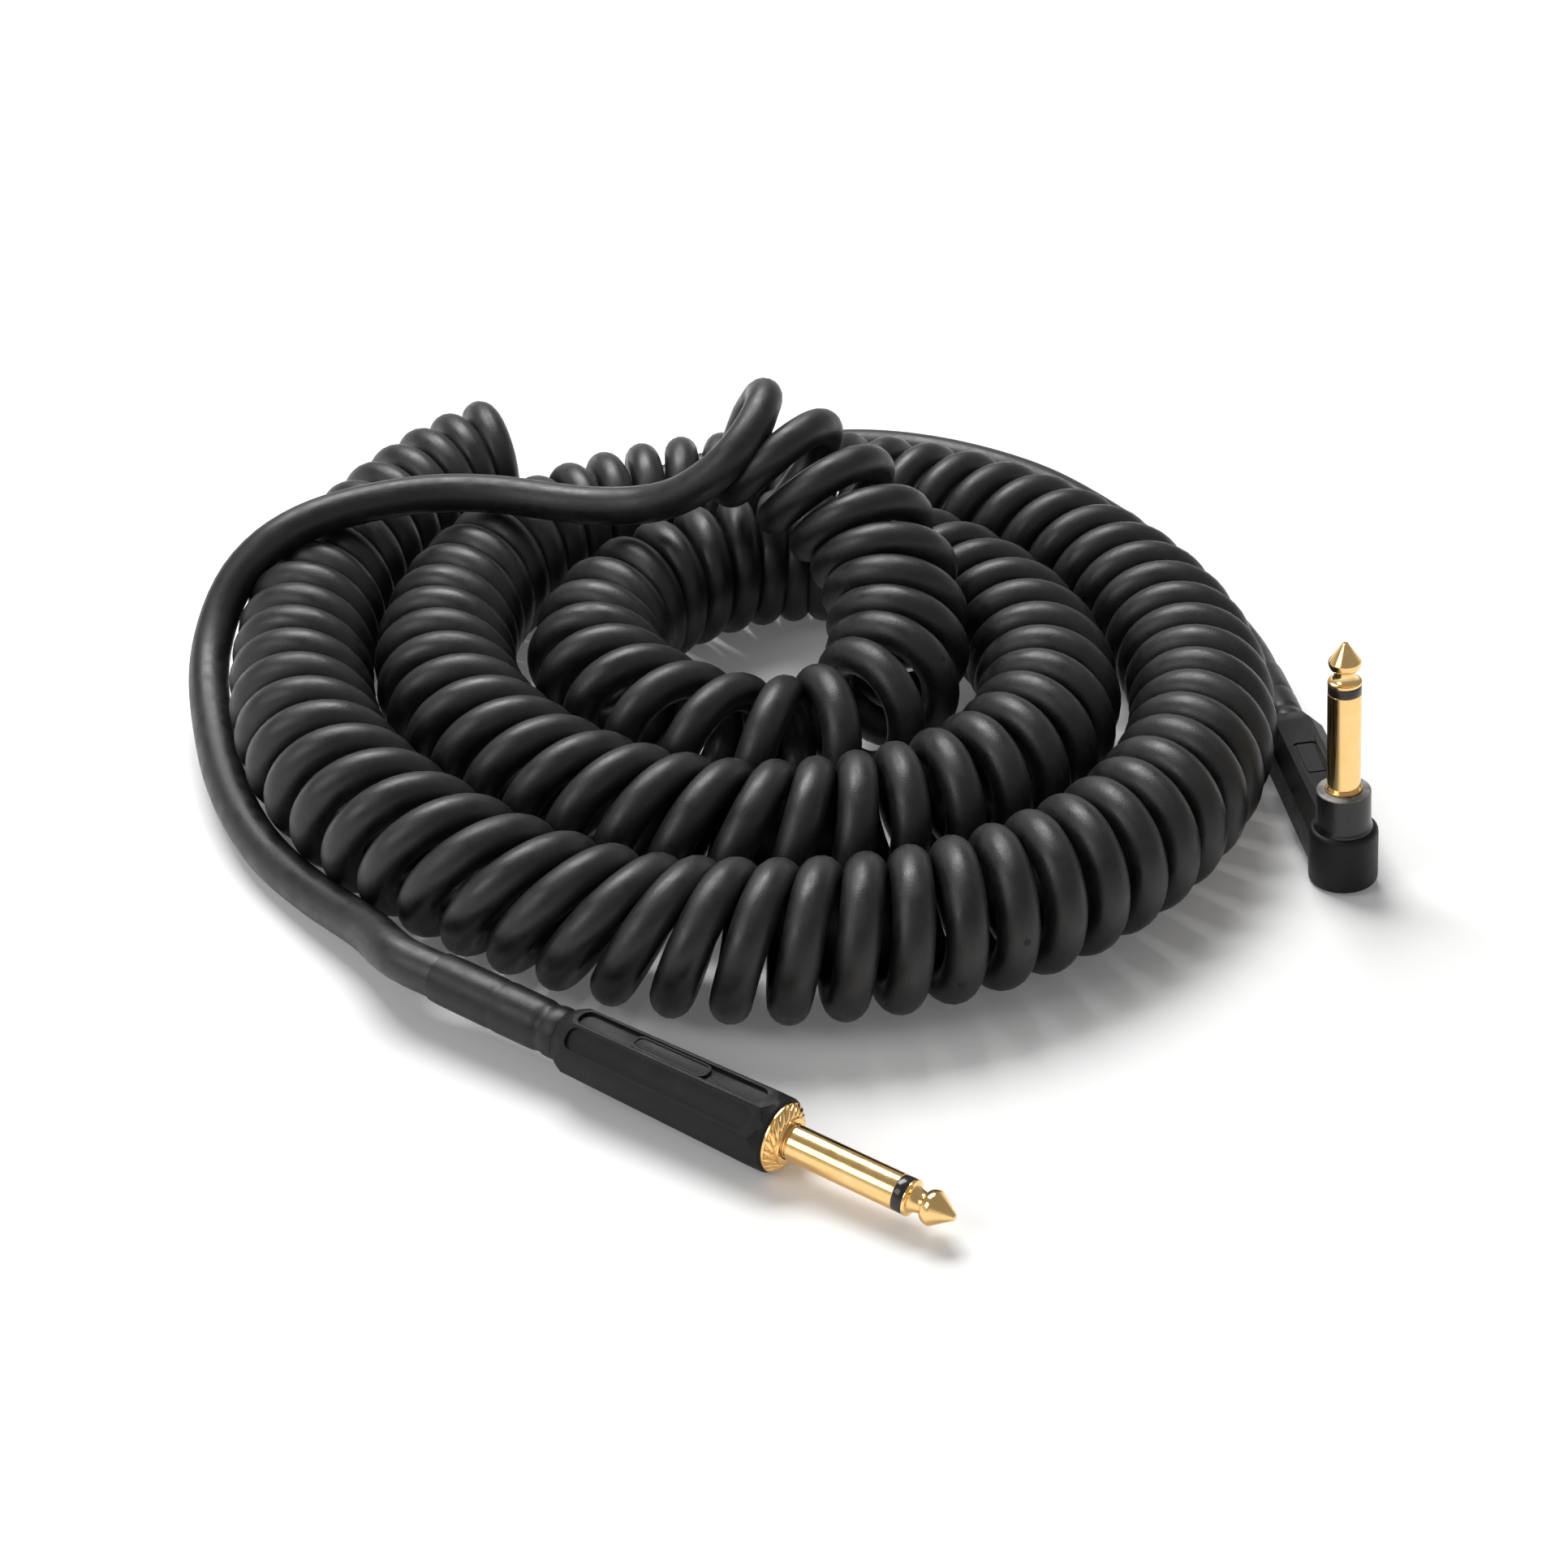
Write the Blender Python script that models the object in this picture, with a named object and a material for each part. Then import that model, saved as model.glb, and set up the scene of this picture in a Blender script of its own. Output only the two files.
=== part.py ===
"""Curly instrument cable with one straight and one right-angle 6.35 mm plug.

Metres, Z up. The cable lies on the plane Z = 0, with the middle of its
footprint at the origin. The cord runs from the right-angle plug through its
lead, the curls and the second lead to the straight plug.
"""

import math

import bmesh
import bpy
import numpy as np
from mathutils import Euler, Matrix, Vector, kdtree

MM = 0.001
FIT = 0.3 * MM                      # gap between pieces that seat on each other

# ---------------------------------------------------------------- cord sizes
STRAND_D = 7.8 * MM                 # jacket of the curled part
LEAD_D = 8.4 * MM                   # jacket of the two leads
COIL_D = 30.2 * MM                  # outside of the curls
CURLS = 79.7                        # curls modelled on the coil
FIRST_PHASE = 0.75                  # the first curl starts at its lowest place
CURL_POINTS = 8                     # points on each curl
CURL_LEAN = math.radians(10.0)      # how far each curl leans along the coil
FLOOR_CUT = STRAND_D / 10.0         # depth of the flats that the coil rests on
LEAD_SIDES = 8                      # sides of the leads' tubes
COIL_SIDES = 6                      # sides of the curls' tube

# Middle line of the coil: (x, y, lift) in mm. The lift is the height above
# the place where the coil rests on the floor. Three turns run inwards,
# counter-clockwise from above, and the last end climbs over them.
COIL_ROUTE = [
    (-60.0, 128.5, 2.2), (-69.5, 120.3, 1.2), (-79.5, 105.0, 0.3), (-92.5, 65.5, 0.0),
    (-93.5, 25.5, 0.0), (-82.8, -14.6, 0.0), (-56.3, -48.8, 0.0), (-22.5, -70.5, 0.0),
    (13.0, -75.5, 0.0), (47.5, -64.0, 0.0), (75.0, -39.0, 0.0), (91.0, -4.0, 0.0),
    (91.7, 35.5, 0.0), (76.7, 73.2, 0.0), (48.0, 101.4, 0.0), (11.0, 112.5, 0.0),
    (-25.0, 104.5, 0.0), (-51.5, 79.5, 0.0), (-62.8, 43.2, 0.0), (-56.5, 4.1, 0.0),
    (-32.9, -27.0, 0.0), (2.0, -41.0, 0.0), (39.0, -29.0, 0.0), (60.8, 5.2, 0.0),
    (55.5, 46.8, 0.0), (29.5, 75.8, 0.0), (-3.0, 75.4, 0.0), (-29.3, 46.0, 0.0),
    (-31.3, 25.8, 0.0), (-22.3, 7.2, 0.0), (-4.5, -6.5, 0.0), (15.0, -6.5, 1.0),
    (28.3, 6.5, 4.0), (32.0, 25.5, 9.5), (27.5, 44.5, 18.5), (13.5, 60.0, 29.5),
    (-6.5, 69.0, 36.0),
]

# Free routes of the two leads between the coil and the plugs, in mm.
STRAIGHT_LEAD_ROUTE = [
    (-24.0, 58.8, 36.6), (-35.0, 62.3, 35.0), (-53.5, 68.5, 35.0), (-72.5, 70.5, 35.0),
    (-89.5, 70.5, 34.9), (-101.0, 71.5, 31.5), (-108.5, 72.5, 24.0), (-113.5, 71.5, 15.5),
    (-116.5, 65.5, 8.5), (-118.5, 53.0, 5.0), (-117.0, 35.0, 4.4), (-112.3, 14.0, 4.4),
    (-103.0, -10.0, 4.4), (-92.0, -33.5, 4.4), (-78.5, -53.0, 4.6), (-69.0, -64.5, 6.4),
]
ANGLE_LEAD_ROUTE = [
    (-44.0, 114.3, 5.4), (-37.0, 116.6, 6.4), (-26.5, 124.0, 9.7), (-10.5, 130.4, 13.5),
    (6.5, 132.5, 16.5), (21.5, 132.0, 18.5), (35.5, 128.5, 19.5), (47.5, 123.5, 19.7),
    (58.5, 117.5, 19.3), (69.5, 110.6, 18.0), (79.3, 101.8, 16.0), (88.3, 91.3, 13.8),
    (95.7, 80.0, 11.3), (101.5, 67.5, 9.4), (106.1, 56.5, 8.0),
]

# --------------------------------------------------- 6.35 mm phone-plug shaft
SHAFT_D = 6.35 * MM                 # standard shaft
SHAFT_L = 31.5 * MM                 # seat to the end of the tip
TIP_L = 8.5 * MM                    # tip, from its flange to its end
TIP_INSULATOR_L = 1.9 * MM
TIP_WAIST_D = 4.2 * MM
TIP_WAIST_Z = 6.7 * MM              # waist, back from the end of the tip
TIP_BULB_D = 6.15 * MM
TIP_BULB_Z = 3.7 * MM               # bulb, back from the end of the tip
TIP_POINT_D = 1.2 * MM
ROD_D = 2.4 * MM                    # rod of the tip, through the sleeve
ROD_HEAD_D = 3.6 * MM               # peened end of the rod
ROD_HEAD_L = 1.0 * MM
SLEEVE_BORE = 4.8 * MM
SLEEVE_BACK = 9.0 * MM              # sleeve's reach behind the seat
NECK_D = 5.5 * MM                   # groove round the foot of the shaft
NECK_L = 0.9 * MM
BACK_WASHER_L = 1.0 * MM
LUG_T = 0.6 * MM                    # sheet of both solder lugs
LUG_W = 2.4 * MM
TIP_LUG_D = 5.6 * MM
TIP_LUG_TAB = 6.0 * MM
GROUND_LUG_D = 8.6 * MM
GROUND_TAB = 3.0 * MM               # ground tab's reach behind the rod's head
GROUND_TAB_ANGLE = 1.0 * MM
GROUND_LUG_SET = 0.5 * MM           # ground lug, ahead of the sleeve's back end
CORE_WIRE_D = 1.2 * MM
SHIELD_WIRE_D = 1.4 * MM

# ------------------------------------------------------------- straight plug
COLLAR_D = 12.3 * MM
COLLAR_L = 2.2 * MM                 # collar's reach ahead of the handle
COLLAR_LIP_D = 8.4 * MM             # smooth lip inside the knurl
COLLAR_LIP_L = 0.5 * MM
COLLAR_BOSS_L = 4.0 * MM            # collar's reach into the handle
CHAMBER_D = 9.8 * MM                # bore round the terminals
CHAMBER_L = 24.0 * MM
KNURL_TEETH = 20
KNURL_DEPTH = 0.32 * MM
KNURL_SLANT = 1.6                   # teeth that one rib crosses over the rim
HANDLE_L = 45.0 * MM
HANDLE_FRONT = 13.3 * MM            # across the flats at the front
HANDLE_BACK = 11.8 * MM             # across the flats at the back
PANEL_DEPTH = 0.5 * MM
PANEL_END = 3.4 * MM                # solid handle beyond each end of a panel
PANEL_RIB = 0.75 * MM               # rib between a panel and the next edge
PANEL_SLOPE = 0.35 * MM             # width of a panel's sloped side
SHRINK_D = 9.4 * MM                 # heat-shrink sleeve
SHRINK_STRAIGHT_L = 28.0 * MM
SHRINK_LIP = 0.35 * MM              # step where the sleeve grips the handle
CORD_END_D = 6.8 * MM               # cord inside sleeve and handle
CORD_END_GAP = 1.6 * MM             # cord's end face, back from the angle plug's well

# ---------------------------------------------------------- right-angle plug
HOUSING_D = 13.3 * MM
HOUSING_H = 12.7 * MM
RISER_FOOT_D = 11.3 * MM            # black riser round the foot of the shaft
RISER_TOP_D = 10.4 * MM
RISER_TOP = 20.0 * MM               # height of the riser's top face
RISER_SKIRT = 1.0 * MM              # riser's reach below the back end of the sleeve
FLANGE_D = 7.4 * MM                 # gold ring at the foot of the shaft
FLANGE_L = 0.7 * MM
ARM_L = 46.0 * MM                   # shaft axis to the arm's back face
ARM_W = 12.2 * MM
ARM_H = 12.0 * MM
ARM_CHAMFER = 2.4 * MM
ARM_SLOPE_L = 5.0 * MM              # sloped shoulder at the arm's back
ARM_BACK_D = 9.8 * MM
CORD_AXIS_Z = 6.4 * MM              # cord's height in the housing
WELL_FLOOR = 2.4 * MM               # housing's floor under the terminals
SHRINK_ANGLE_L = 23.5 * MM
EDGE = 0.6 * MM                     # rounding of the moulded edges

ROUND = 24                          # sides of the visible turned pieces
SMALL_ROUND = 16                    # sides of the hidden turned pieces

# --------------------------------------------------------- places of the plugs
STRAIGHT_SEAT = Vector((8.1, -121.3, 6.6)) * MM
STRAIGHT_HEADING = math.radians(-34.2)
STRAIGHT_DIP = math.radians(2.5)
ANGLE_FOOT = Vector((116.1, -32.3, 0.0)) * MM
ANGLE_LEAN = math.radians(5.6)
ANGLE_HEADING = math.radians(4.3)


# ------------------------------------------------------------------ materials
def make_material(name, colour, roughness, metallic=0.0):
    material = bpy.data.materials.new(name)
    material.use_nodes = True
    shader = material.node_tree.nodes["Principled BSDF"]
    shader.inputs["Base Color"].default_value = (*colour, 1.0)
    shader.inputs["Roughness"].default_value = roughness
    shader.inputs["Metallic"].default_value = metallic
    return material


# ------------------------------------------------------------- mesh functions
def add_object(name, bm, material, parent, sharp=35.0):
    """Turn a bmesh into a parented object with smooth round sides."""
    bmesh.ops.recalc_face_normals(bm, faces=bm.faces)
    mesh = bpy.data.meshes.new(name)
    bm.to_mesh(mesh)
    bm.free()
    mesh.shade_smooth()
    mesh.set_sharp_from_angle(angle=math.radians(sharp))
    mesh.materials.append(material)
    obj = bpy.data.objects.new(name, mesh)
    bpy.context.collection.objects.link(obj)
    obj.parent = parent
    return obj


def add_frame(name, matrix):
    """An empty that carries one plug."""
    frame = bpy.data.objects.new(name, None)
    frame.matrix_world = matrix
    bpy.context.collection.objects.link(frame)
    return frame


def turned(name, profile, material, parent, bored=True, sides=ROUND):
    """Revolve (radius, z) pairs about Z. A bored profile closes on itself."""
    bm = bmesh.new()
    points = [bm.verts.new((radius, 0.0, z)) for radius, z in profile]
    edges = [bm.edges.new(pair) for pair in zip(points, points[1:])]
    if bored:
        edges.append(bm.edges.new((points[-1], points[0])))
    bmesh.ops.spin(bm, geom=points + edges, cent=(0, 0, 0), axis=(0, 0, 1),
                   angle=2 * math.pi, steps=sides, use_merge=True)
    bmesh.ops.remove_doubles(bm, verts=bm.verts, dist=MM / 1000)
    return add_object(name, bm, material, parent)


def tube_profile(outer, bore, start, end):
    return [(bore / 2, start), (outer / 2, start), (outer / 2, end), (bore / 2, end)]


def loft(name, rings, material, parent, bored=True):
    """Skin equal rings of points; bored closes last to first, else both are capped."""
    bm = bmesh.new()
    skins = [[bm.verts.new(point) for point in ring] for ring in rings]
    pairs = list(zip(skins, skins[1:]))
    if bored:
        pairs.append((skins[-1], skins[0]))
    for near, far in pairs:
        for i in range(len(near)):
            j = (i + 1) % len(near)
            bm.faces.new((near[i], near[j], far[j], far[i]))
    if not bored:
        bm.faces.new(skins[0])
        bm.faces.new(skins[-1])
    return add_object(name, bm, material, parent)


def cut(obj, cutter):
    """Subtract a hidden cutter from an object."""
    cutter.hide_render = True
    cutter.display_type = "WIRE"
    modifier = obj.modifiers.new("cut_" + cutter.name, "BOOLEAN")
    modifier.operation = "DIFFERENCE"
    modifier.object = cutter


def join_to(obj, tool):
    """Unite a hidden tool with an object."""
    tool.hide_render = True
    tool.display_type = "WIRE"
    modifier = obj.modifiers.new("join_" + tool.name, "BOOLEAN")
    modifier.operation = "UNION"
    modifier.object = tool


# -------------------------------------------------------------- cord functions
def spline(knots, points, wanted):
    """Natural cubic spline: values and slopes at the wanted parameters."""
    knots = np.asarray(knots, float)
    points = np.asarray(points, float)
    wanted = np.asarray(wanted, float)
    step = np.diff(knots)
    rise = np.diff(points, axis=0) / step[:, None]
    count = len(knots)
    system = np.eye(count)
    right = np.zeros_like(points)
    for i in range(1, count - 1):
        system[i, i - 1:i + 2] = step[i - 1], 2 * (step[i - 1] + step[i]), step[i]
        right[i] = 6 * (rise[i] - rise[i - 1])
    bend = np.linalg.solve(system, right)
    span = np.clip(np.searchsorted(knots, wanted) - 1, 0, count - 2)
    h = step[span][:, None]
    s = (wanted - knots[span])[:, None]
    low, high = bend[span], bend[span + 1]
    slope = rise[span] - h * (2 * low + high) / 6
    values = points[span] + s * (slope + s * (low / 2 + s * (high - low) / (6 * h)))
    slopes = slope + s * (low + s * (high - low) / (2 * h))
    return values, slopes


def unit(rows):
    return rows / np.linalg.norm(rows, axis=-1, keepdims=True)


def reach_along(points):
    """Distance along a row of points, from the first one."""
    steps = np.linalg.norm(np.diff(points, axis=0), axis=1)
    return np.concatenate([[0.0], np.cumsum(steps)])


def strand_at(fractions):
    """Places on the middle of the curled strand, by their share of the coil."""
    route = np.array(COIL_ROUTE) * MM
    route[:, 2] += COIL_D / 2 - FLOOR_CUT
    reach = reach_along(route)
    share = np.asarray(fractions, float)
    centre, along = spline(reach, route, share * reach[-1])
    along = unit(along)
    out = unit(np.cross(along, (0.0, 0.0, 1.0)))
    above = np.cross(out, along)
    leaned = out * math.cos(CURL_LEAN) - along * math.sin(CURL_LEAN)
    phase = 2 * math.pi * (FIRST_PHASE + share[:, None] * CURLS)
    radius = (COIL_D - STRAND_D) / 2
    return centre + radius * (leaned * np.cos(phase) + above * np.sin(phase))


def coil_line():
    """Points of the curled strand, with a straight run of one diameter at each end."""
    strand = strand_at(np.linspace(0.0, 1.0, round(CURLS * CURL_POINTS) + 1))
    near = 1.0e-5
    start_way = unit(strand[0] - strand_at([near])[0])
    end_way = unit(strand[-1] - strand_at([1.0 - near])[0])
    start = strand[0] + start_way * STRAND_D
    end = strand[-1] + end_way * STRAND_D
    return np.vstack([start, strand, end]), start_way, end_way


def least_gap(points, diameter):
    """Smallest clear distance between stretches of one cord."""
    fine = []
    for a, b in zip(points, points[1:]):
        for i in range(CURL_POINTS):
            fine.append(a + (b - a) * i / CURL_POINTS)
    skip = CURL_POINTS * CURL_POINTS // 2
    tree = kdtree.KDTree(len(fine))
    for i, point in enumerate(fine):
        tree.insert(point, i)
    tree.balance()
    least = float("inf")
    for i, point in enumerate(fine):
        for _, j, distance in tree.find_range(point, 2 * diameter):
            if abs(i - j) > skip:
                least = min(least, distance)
    return least - diameter


def lead_line(start, start_way, route, end, end_way):
    """Points of a lead: a straight run at each end and a smooth curve between."""
    ends = [start, start + start_way * LEAD_D]
    finish = [end + end_way * LEAD_D, end]
    knots = np.vstack([ends, np.array(route) * MM, finish])
    reach = reach_along(knots)
    wanted = []
    for a, b in zip(reach[1:-2], reach[2:-1]):
        wanted += [a, (a + b) / 2]
    wanted.append(reach[-2])
    curve, _ = spline(reach, knots, wanted)
    return np.vstack([start, curve, end])


def cord(name, points, diameter, sides, material, cut_flat=False):
    """A round cord along the points; cut_flat trims it at the floor."""
    curve = bpy.data.curves.new(name, "CURVE")
    curve.dimensions = "3D"
    curve.bevel_depth = diameter / 2
    curve.bevel_resolution = round(sides / 2) - 2
    curve.use_fill_caps = True
    line = curve.splines.new("POLY")
    line.points.add(len(points) - 1)
    for point, place in zip(line.points, points):
        point.co = (*place, 1.0)
    curve.materials.append(material)
    obj = bpy.data.objects.new(name, curve)
    bpy.context.collection.objects.link(obj)
    if not cut_flat:
        return obj
    bpy.context.view_layer.update()
    mesh = bpy.data.meshes.new_from_object(obj)
    bpy.data.objects.remove(obj)
    for vertex in mesh.vertices:
        vertex.co.z = max(vertex.co.z, 0.0)
    mesh.name = name
    flat = bpy.data.objects.new(name, mesh)
    bpy.context.collection.objects.link(flat)
    return flat


# ------------------------------------------------------------- plug functions
def shaft_set(prefix, seat, flange, ground_tab, gold, plastic, tin):
    """Contacts and insulators of one plug, along Z, with the seat at Z = 0.

    The ground lug's tab ends ground_tab behind the head of the rod. A flange is
    the gold ring that sits in a recess at the foot of the shaft.
    """
    flange_z = SHAFT_L - TIP_L
    ring_end = flange_z - FIT
    ring_start = flange_z - TIP_INSULATOR_L
    sleeve_end = ring_start - FIT
    back = -SLEEVE_BACK
    r = SHAFT_D / 2

    sleeve = [(SLEEVE_BORE / 2, back), (r, back)]
    foot = 0.0
    if flange:
        foot = FLANGE_L
        sleeve += [(r, 0.0), (FLANGE_D / 2, 0.0), (FLANGE_D / 2, foot)]
    sleeve += [(NECK_D / 2, foot), (NECK_D / 2, foot + NECK_L), (r, foot + NECK_L + 0.1 * MM),
               (r, sleeve_end), (SLEEVE_BORE / 2, sleeve_end)]
    turned(prefix + "_sleeve", sleeve, gold, seat)

    rod_bore = ROD_D + 2 * FIT
    tube = tube_profile(SLEEVE_BORE - 2 * FIT, rod_bore, back, sleeve_end)
    turned(prefix + "_insulating_tube", tube, plastic, seat, sides=SMALL_ROUND)
    ring = tube_profile(SHAFT_D, rod_bore, ring_start, ring_end)
    turned(prefix + "_tip_insulator", ring, plastic, seat)

    washer_end = back - FIT
    washer_start = washer_end - BACK_WASHER_L
    washer = tube_profile(SHAFT_D, rod_bore, washer_start, washer_end)
    turned(prefix + "_back_insulator", washer, plastic, seat, sides=SMALL_ROUND)

    lug_end = washer_start - FIT
    lug_start = lug_end - LUG_T
    head_end = lug_start - FIT
    head_start = head_end - ROD_HEAD_L
    waist_z = SHAFT_L - TIP_WAIST_Z
    bulb_z = SHAFT_L - TIP_BULB_Z
    rod, waist, bulb = ROD_D / 2, TIP_WAIST_D / 2, TIP_BULB_D / 2
    tip = [(0.0, head_start), (ROD_HEAD_D / 2, head_start), (ROD_HEAD_D / 2, head_end),
           (rod, head_end), (rod, flange_z), (r, flange_z), (r, flange_z + 0.3 * MM)]
    for i in range(1, 5):
        turn = math.radians(90 * i / 5)
        tip.append((waist + (r - waist) * (1 - math.sin(turn)),
                    waist_z - (waist_z - flange_z - 0.3 * MM) * math.cos(turn)))
    tip.append((waist, waist_z))
    for i in range(1, 5):
        turn = math.radians(90 * i / 4)
        tip.append((waist + (bulb - waist) * math.sin(turn),
                    bulb_z - (bulb_z - waist_z) * math.cos(turn)))
    tip += [(bulb - 0.25 * MM, bulb_z + 0.5 * MM), (TIP_POINT_D / 2, SHAFT_L - 0.15 * MM),
            (TIP_POINT_D / 2 - 0.15 * MM, SHAFT_L), (0.0, SHAFT_L)]
    turned(prefix + "_tip_contact", tip, gold, seat, bored=False)

    tab_lug(prefix + "_tip_lug", TIP_LUG_D, rod_bore, lug_start, -1.0, TIP_LUG_TAB, tin, seat)
    ground_back = back + GROUND_LUG_SET
    reach = ground_back - (head_start - ground_tab)
    tab_lug(prefix + "_ground_lug", GROUND_LUG_D, SHAFT_D + 2 * FIT, ground_back, 1.0,
            reach, tin, seat)
    return head_start


def tab_lug(name, ring_d, hole_d, z, side, tab, material, parent):
    """A ring of sheet with a tab bent back along -Z on its +Y or -Y side."""
    bm = bmesh.new()
    steps = SMALL_ROUND
    rim, hole = [], []
    for i in range(steps):
        angle = 2 * math.pi * (i + 0.5) / steps
        way = Vector((math.cos(angle), math.sin(angle), 0.0))
        rim.append(bm.verts.new(way * ring_d / 2))
        hole.append(bm.verts.new(way * hole_d / 2))
    faces = []
    for i in range(steps):
        j = (i + 1) % steps
        faces.append(bm.faces.new((rim[i], rim[j], hole[j], hole[i])))
    lifted = bmesh.ops.extrude_face_region(bm, geom=faces)["geom"]
    verts = [item for item in lifted if isinstance(item, bmesh.types.BMVert)]
    bmesh.ops.translate(bm, verts=verts, vec=(0.0, 0.0, LUG_T))
    ring = add_object(name, bm, material, parent)
    ring.location = (0.0, 0.0, z)

    strip = bmesh.new()
    bmesh.ops.create_cube(strip, size=1.0)
    bmesh.ops.scale(strip, vec=(LUG_W, LUG_T, tab + LUG_T / 2), verts=strip.verts)
    inner = ring_d / 2 - LUG_T
    bmesh.ops.translate(strip, verts=strip.verts,
                        vec=(0.0, side * (inner + LUG_T / 2), (LUG_T / 2 - tab) / 2))
    tool = add_object(name + "_tab", strip, material, ring)
    join_to(ring, tool)
    return ring


def rod_piece(name, start, end, diameter, material, parent):
    """A short round wire from start to end."""
    start, end = Vector(start), Vector(end)
    bm = bmesh.new()
    length = (end - start).length
    bmesh.ops.create_cone(bm, cap_ends=True, segments=12, radius1=diameter / 2,
                          radius2=diameter / 2, depth=length)
    obj = add_object(name, bm, material, parent)
    obj.location = (start + end) / 2
    obj.rotation_mode = "QUATERNION"
    obj.rotation_quaternion = (end - start).to_track_quat("Z", "Y")
    return obj


def knurled_collar(name, material, parent):
    """A ring whose rim has slanted rope-like ribs, with a boss for the handle."""
    rim = [(COLLAR_D / 2 - 0.25 * MM, -COLLAR_L), (COLLAR_D / 2, -COLLAR_L + 0.35 * MM),
           (COLLAR_D / 2 - 0.15 * MM, -COLLAR_L * 0.55), (COLLAR_D / 2 - 0.75 * MM, -0.75 * MM),
           (COLLAR_LIP_D / 2 + 0.45 * MM, -COLLAR_LIP_L)]
    bore = SHAFT_D / 2 + FIT
    boss = CHAMBER_D / 2 - FIT
    plain = [(COLLAR_LIP_D / 2, -COLLAR_LIP_L), (COLLAR_LIP_D / 2 - 0.15 * MM, 0.0), (bore, 0.0),
             (bore, -COLLAR_L - COLLAR_BOSS_L), (boss, -COLLAR_L - COLLAR_BOSS_L),
             (boss, -COLLAR_L)]
    around = KNURL_TEETH * 4
    rings = []
    for k, (radius, z) in enumerate(rim):
        slant = KNURL_SLANT * k / (len(rim) - 1)
        depth = KNURL_DEPTH if 0 < k < len(rim) - 1 else 0.0
        ring = []
        for i in range(around):
            wave = 0.5 - 0.5 * math.cos(2 * math.pi * (i / 4 + slant))
            angle = 2 * math.pi * i / around
            ring.append(((radius - depth * wave) * math.cos(angle),
                         (radius - depth * wave) * math.sin(angle), z))
        rings.append(ring)
    for radius, z in plain:
        rings.append([(radius * math.cos(2 * math.pi * i / around),
                       radius * math.sin(2 * math.pi * i / around), z) for i in range(around)])
    return loft(name, rings, material, parent)


def facet_ring(flat, z, panel, roundness):
    """An eight-sided outline at height z, five points a side.

    The panel depth sinks the middle of six sides; the two on the parting
    line, at +Y and -Y, stay plain. Roundness blends the outline to a circle.
    """
    ring = []
    half = flat / 2 * math.tan(math.pi / 8)
    inner = half - PANEL_RIB
    floor = inner - PANEL_SLOPE
    for side in range(8):
        depth = 0.0 if side in (2, 6) else panel
        normal = side * math.pi / 4
        for u, sunk in ((-half, 0.0), (-inner, 0.0), (-floor, depth), (floor, depth), (inner, 0.0)):
            reach = flat / 2 - sunk
            x = reach * math.cos(normal) - u * math.sin(normal)
            y = reach * math.sin(normal) + u * math.cos(normal)
            radius = math.hypot(x, y)
            blend = 1.0 + roundness * (flat / 2 / radius - 1.0)
            ring.append((x * blend, y * blend, z))
    return ring


def straight_handle(name, material, parent):
    """Tapered eight-sided grip with sunk panels, bored for the terminals."""
    front = -COLLAR_L - FIT
    back = front - HANDLE_L

    def flat_at(z):
        return HANDLE_BACK + (HANDLE_FRONT - HANDLE_BACK) * (z - back) / HANDLE_L

    shrink = SHRINK_D / 2
    rings = [
        facet_ring(2 * (shrink - 0.3 * MM), back, 0.0, 1.0),
        facet_ring(2 * shrink, back + 0.4 * MM, 0.0, 0.8),
        facet_ring(flat_at(back) - 0.9 * MM, back + 1.3 * MM, 0.0, 0.3),
        facet_ring(flat_at(back) - 0.2 * MM, back + 2.3 * MM, 0.0, 0.1),
    ]
    panel_start, panel_end = back + PANEL_END, front - PANEL_END
    for z, depth in ((panel_start, 0.0), (panel_start + 2 * PANEL_SLOPE, PANEL_DEPTH),
                     ((panel_start + panel_end) / 2, PANEL_DEPTH),
                     (panel_end - 2 * PANEL_SLOPE, PANEL_DEPTH), (panel_end, 0.0)):
        rings.append(facet_ring(flat_at(z), z, depth, 0.1))
    rings += [
        facet_ring(flat_at(front) + 0.1 * MM, front - 1.2 * MM, 0.0, 0.5),
        facet_ring(flat_at(front), front - 0.4 * MM, 0.0, 0.9),
        facet_ring(flat_at(front) - 0.5 * MM, front, 0.0, 1.0),
    ]
    cord_bore = CORD_END_D + 2 * FIT
    chamber_end = front - CHAMBER_L
    for bore, z in ((CHAMBER_D, front), (CHAMBER_D, chamber_end),
                    (cord_bore, chamber_end), (cord_bore, back)):
        rings.append(facet_ring(bore, z, 0.0, 1.0))
    loft(name, rings, material, parent)
    return back


def shrink_sleeve(name, length, front, material, parent):
    """Heat-shrink sleeve behind a handle, with a grip step and a soft crease."""
    r = SHRINK_D / 2
    bore = CORD_END_D / 2 + FIT
    back = front - length
    middle = (front + back) / 2
    profile = [(bore, back), (r - 0.3 * MM, back), (r - 0.1 * MM, back + 0.5 * MM),
               (r, middle - 2.0 * MM), (r - 0.12 * MM, middle - 0.6 * MM),
               (r + 0.1 * MM, middle + 0.8 * MM), (r, front - 5.0 * MM),
               (r - SHRINK_LIP, front - 3.6 * MM), (r - SHRINK_LIP, front - 2.8 * MM),
               (r, front - 2.0 * MM), (r - 0.15 * MM, front), (bore, front)]
    return turned(name, profile, material, parent)


def arm_ring(y, width, height, chamfer, axis_z):
    """A chamfered rectangle across the arm, centred on the cord's axis."""
    w, h, c = width / 2, height / 2, chamfer
    outline = [(-w, -h + c), (-w + c, -h), (w - c, -h), (w, -h + c),
               (w, h - c), (w - c, h), (-w + c, h), (-w, h - c)]
    return [(x, y, axis_z + z) for x, z in outline]


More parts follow.
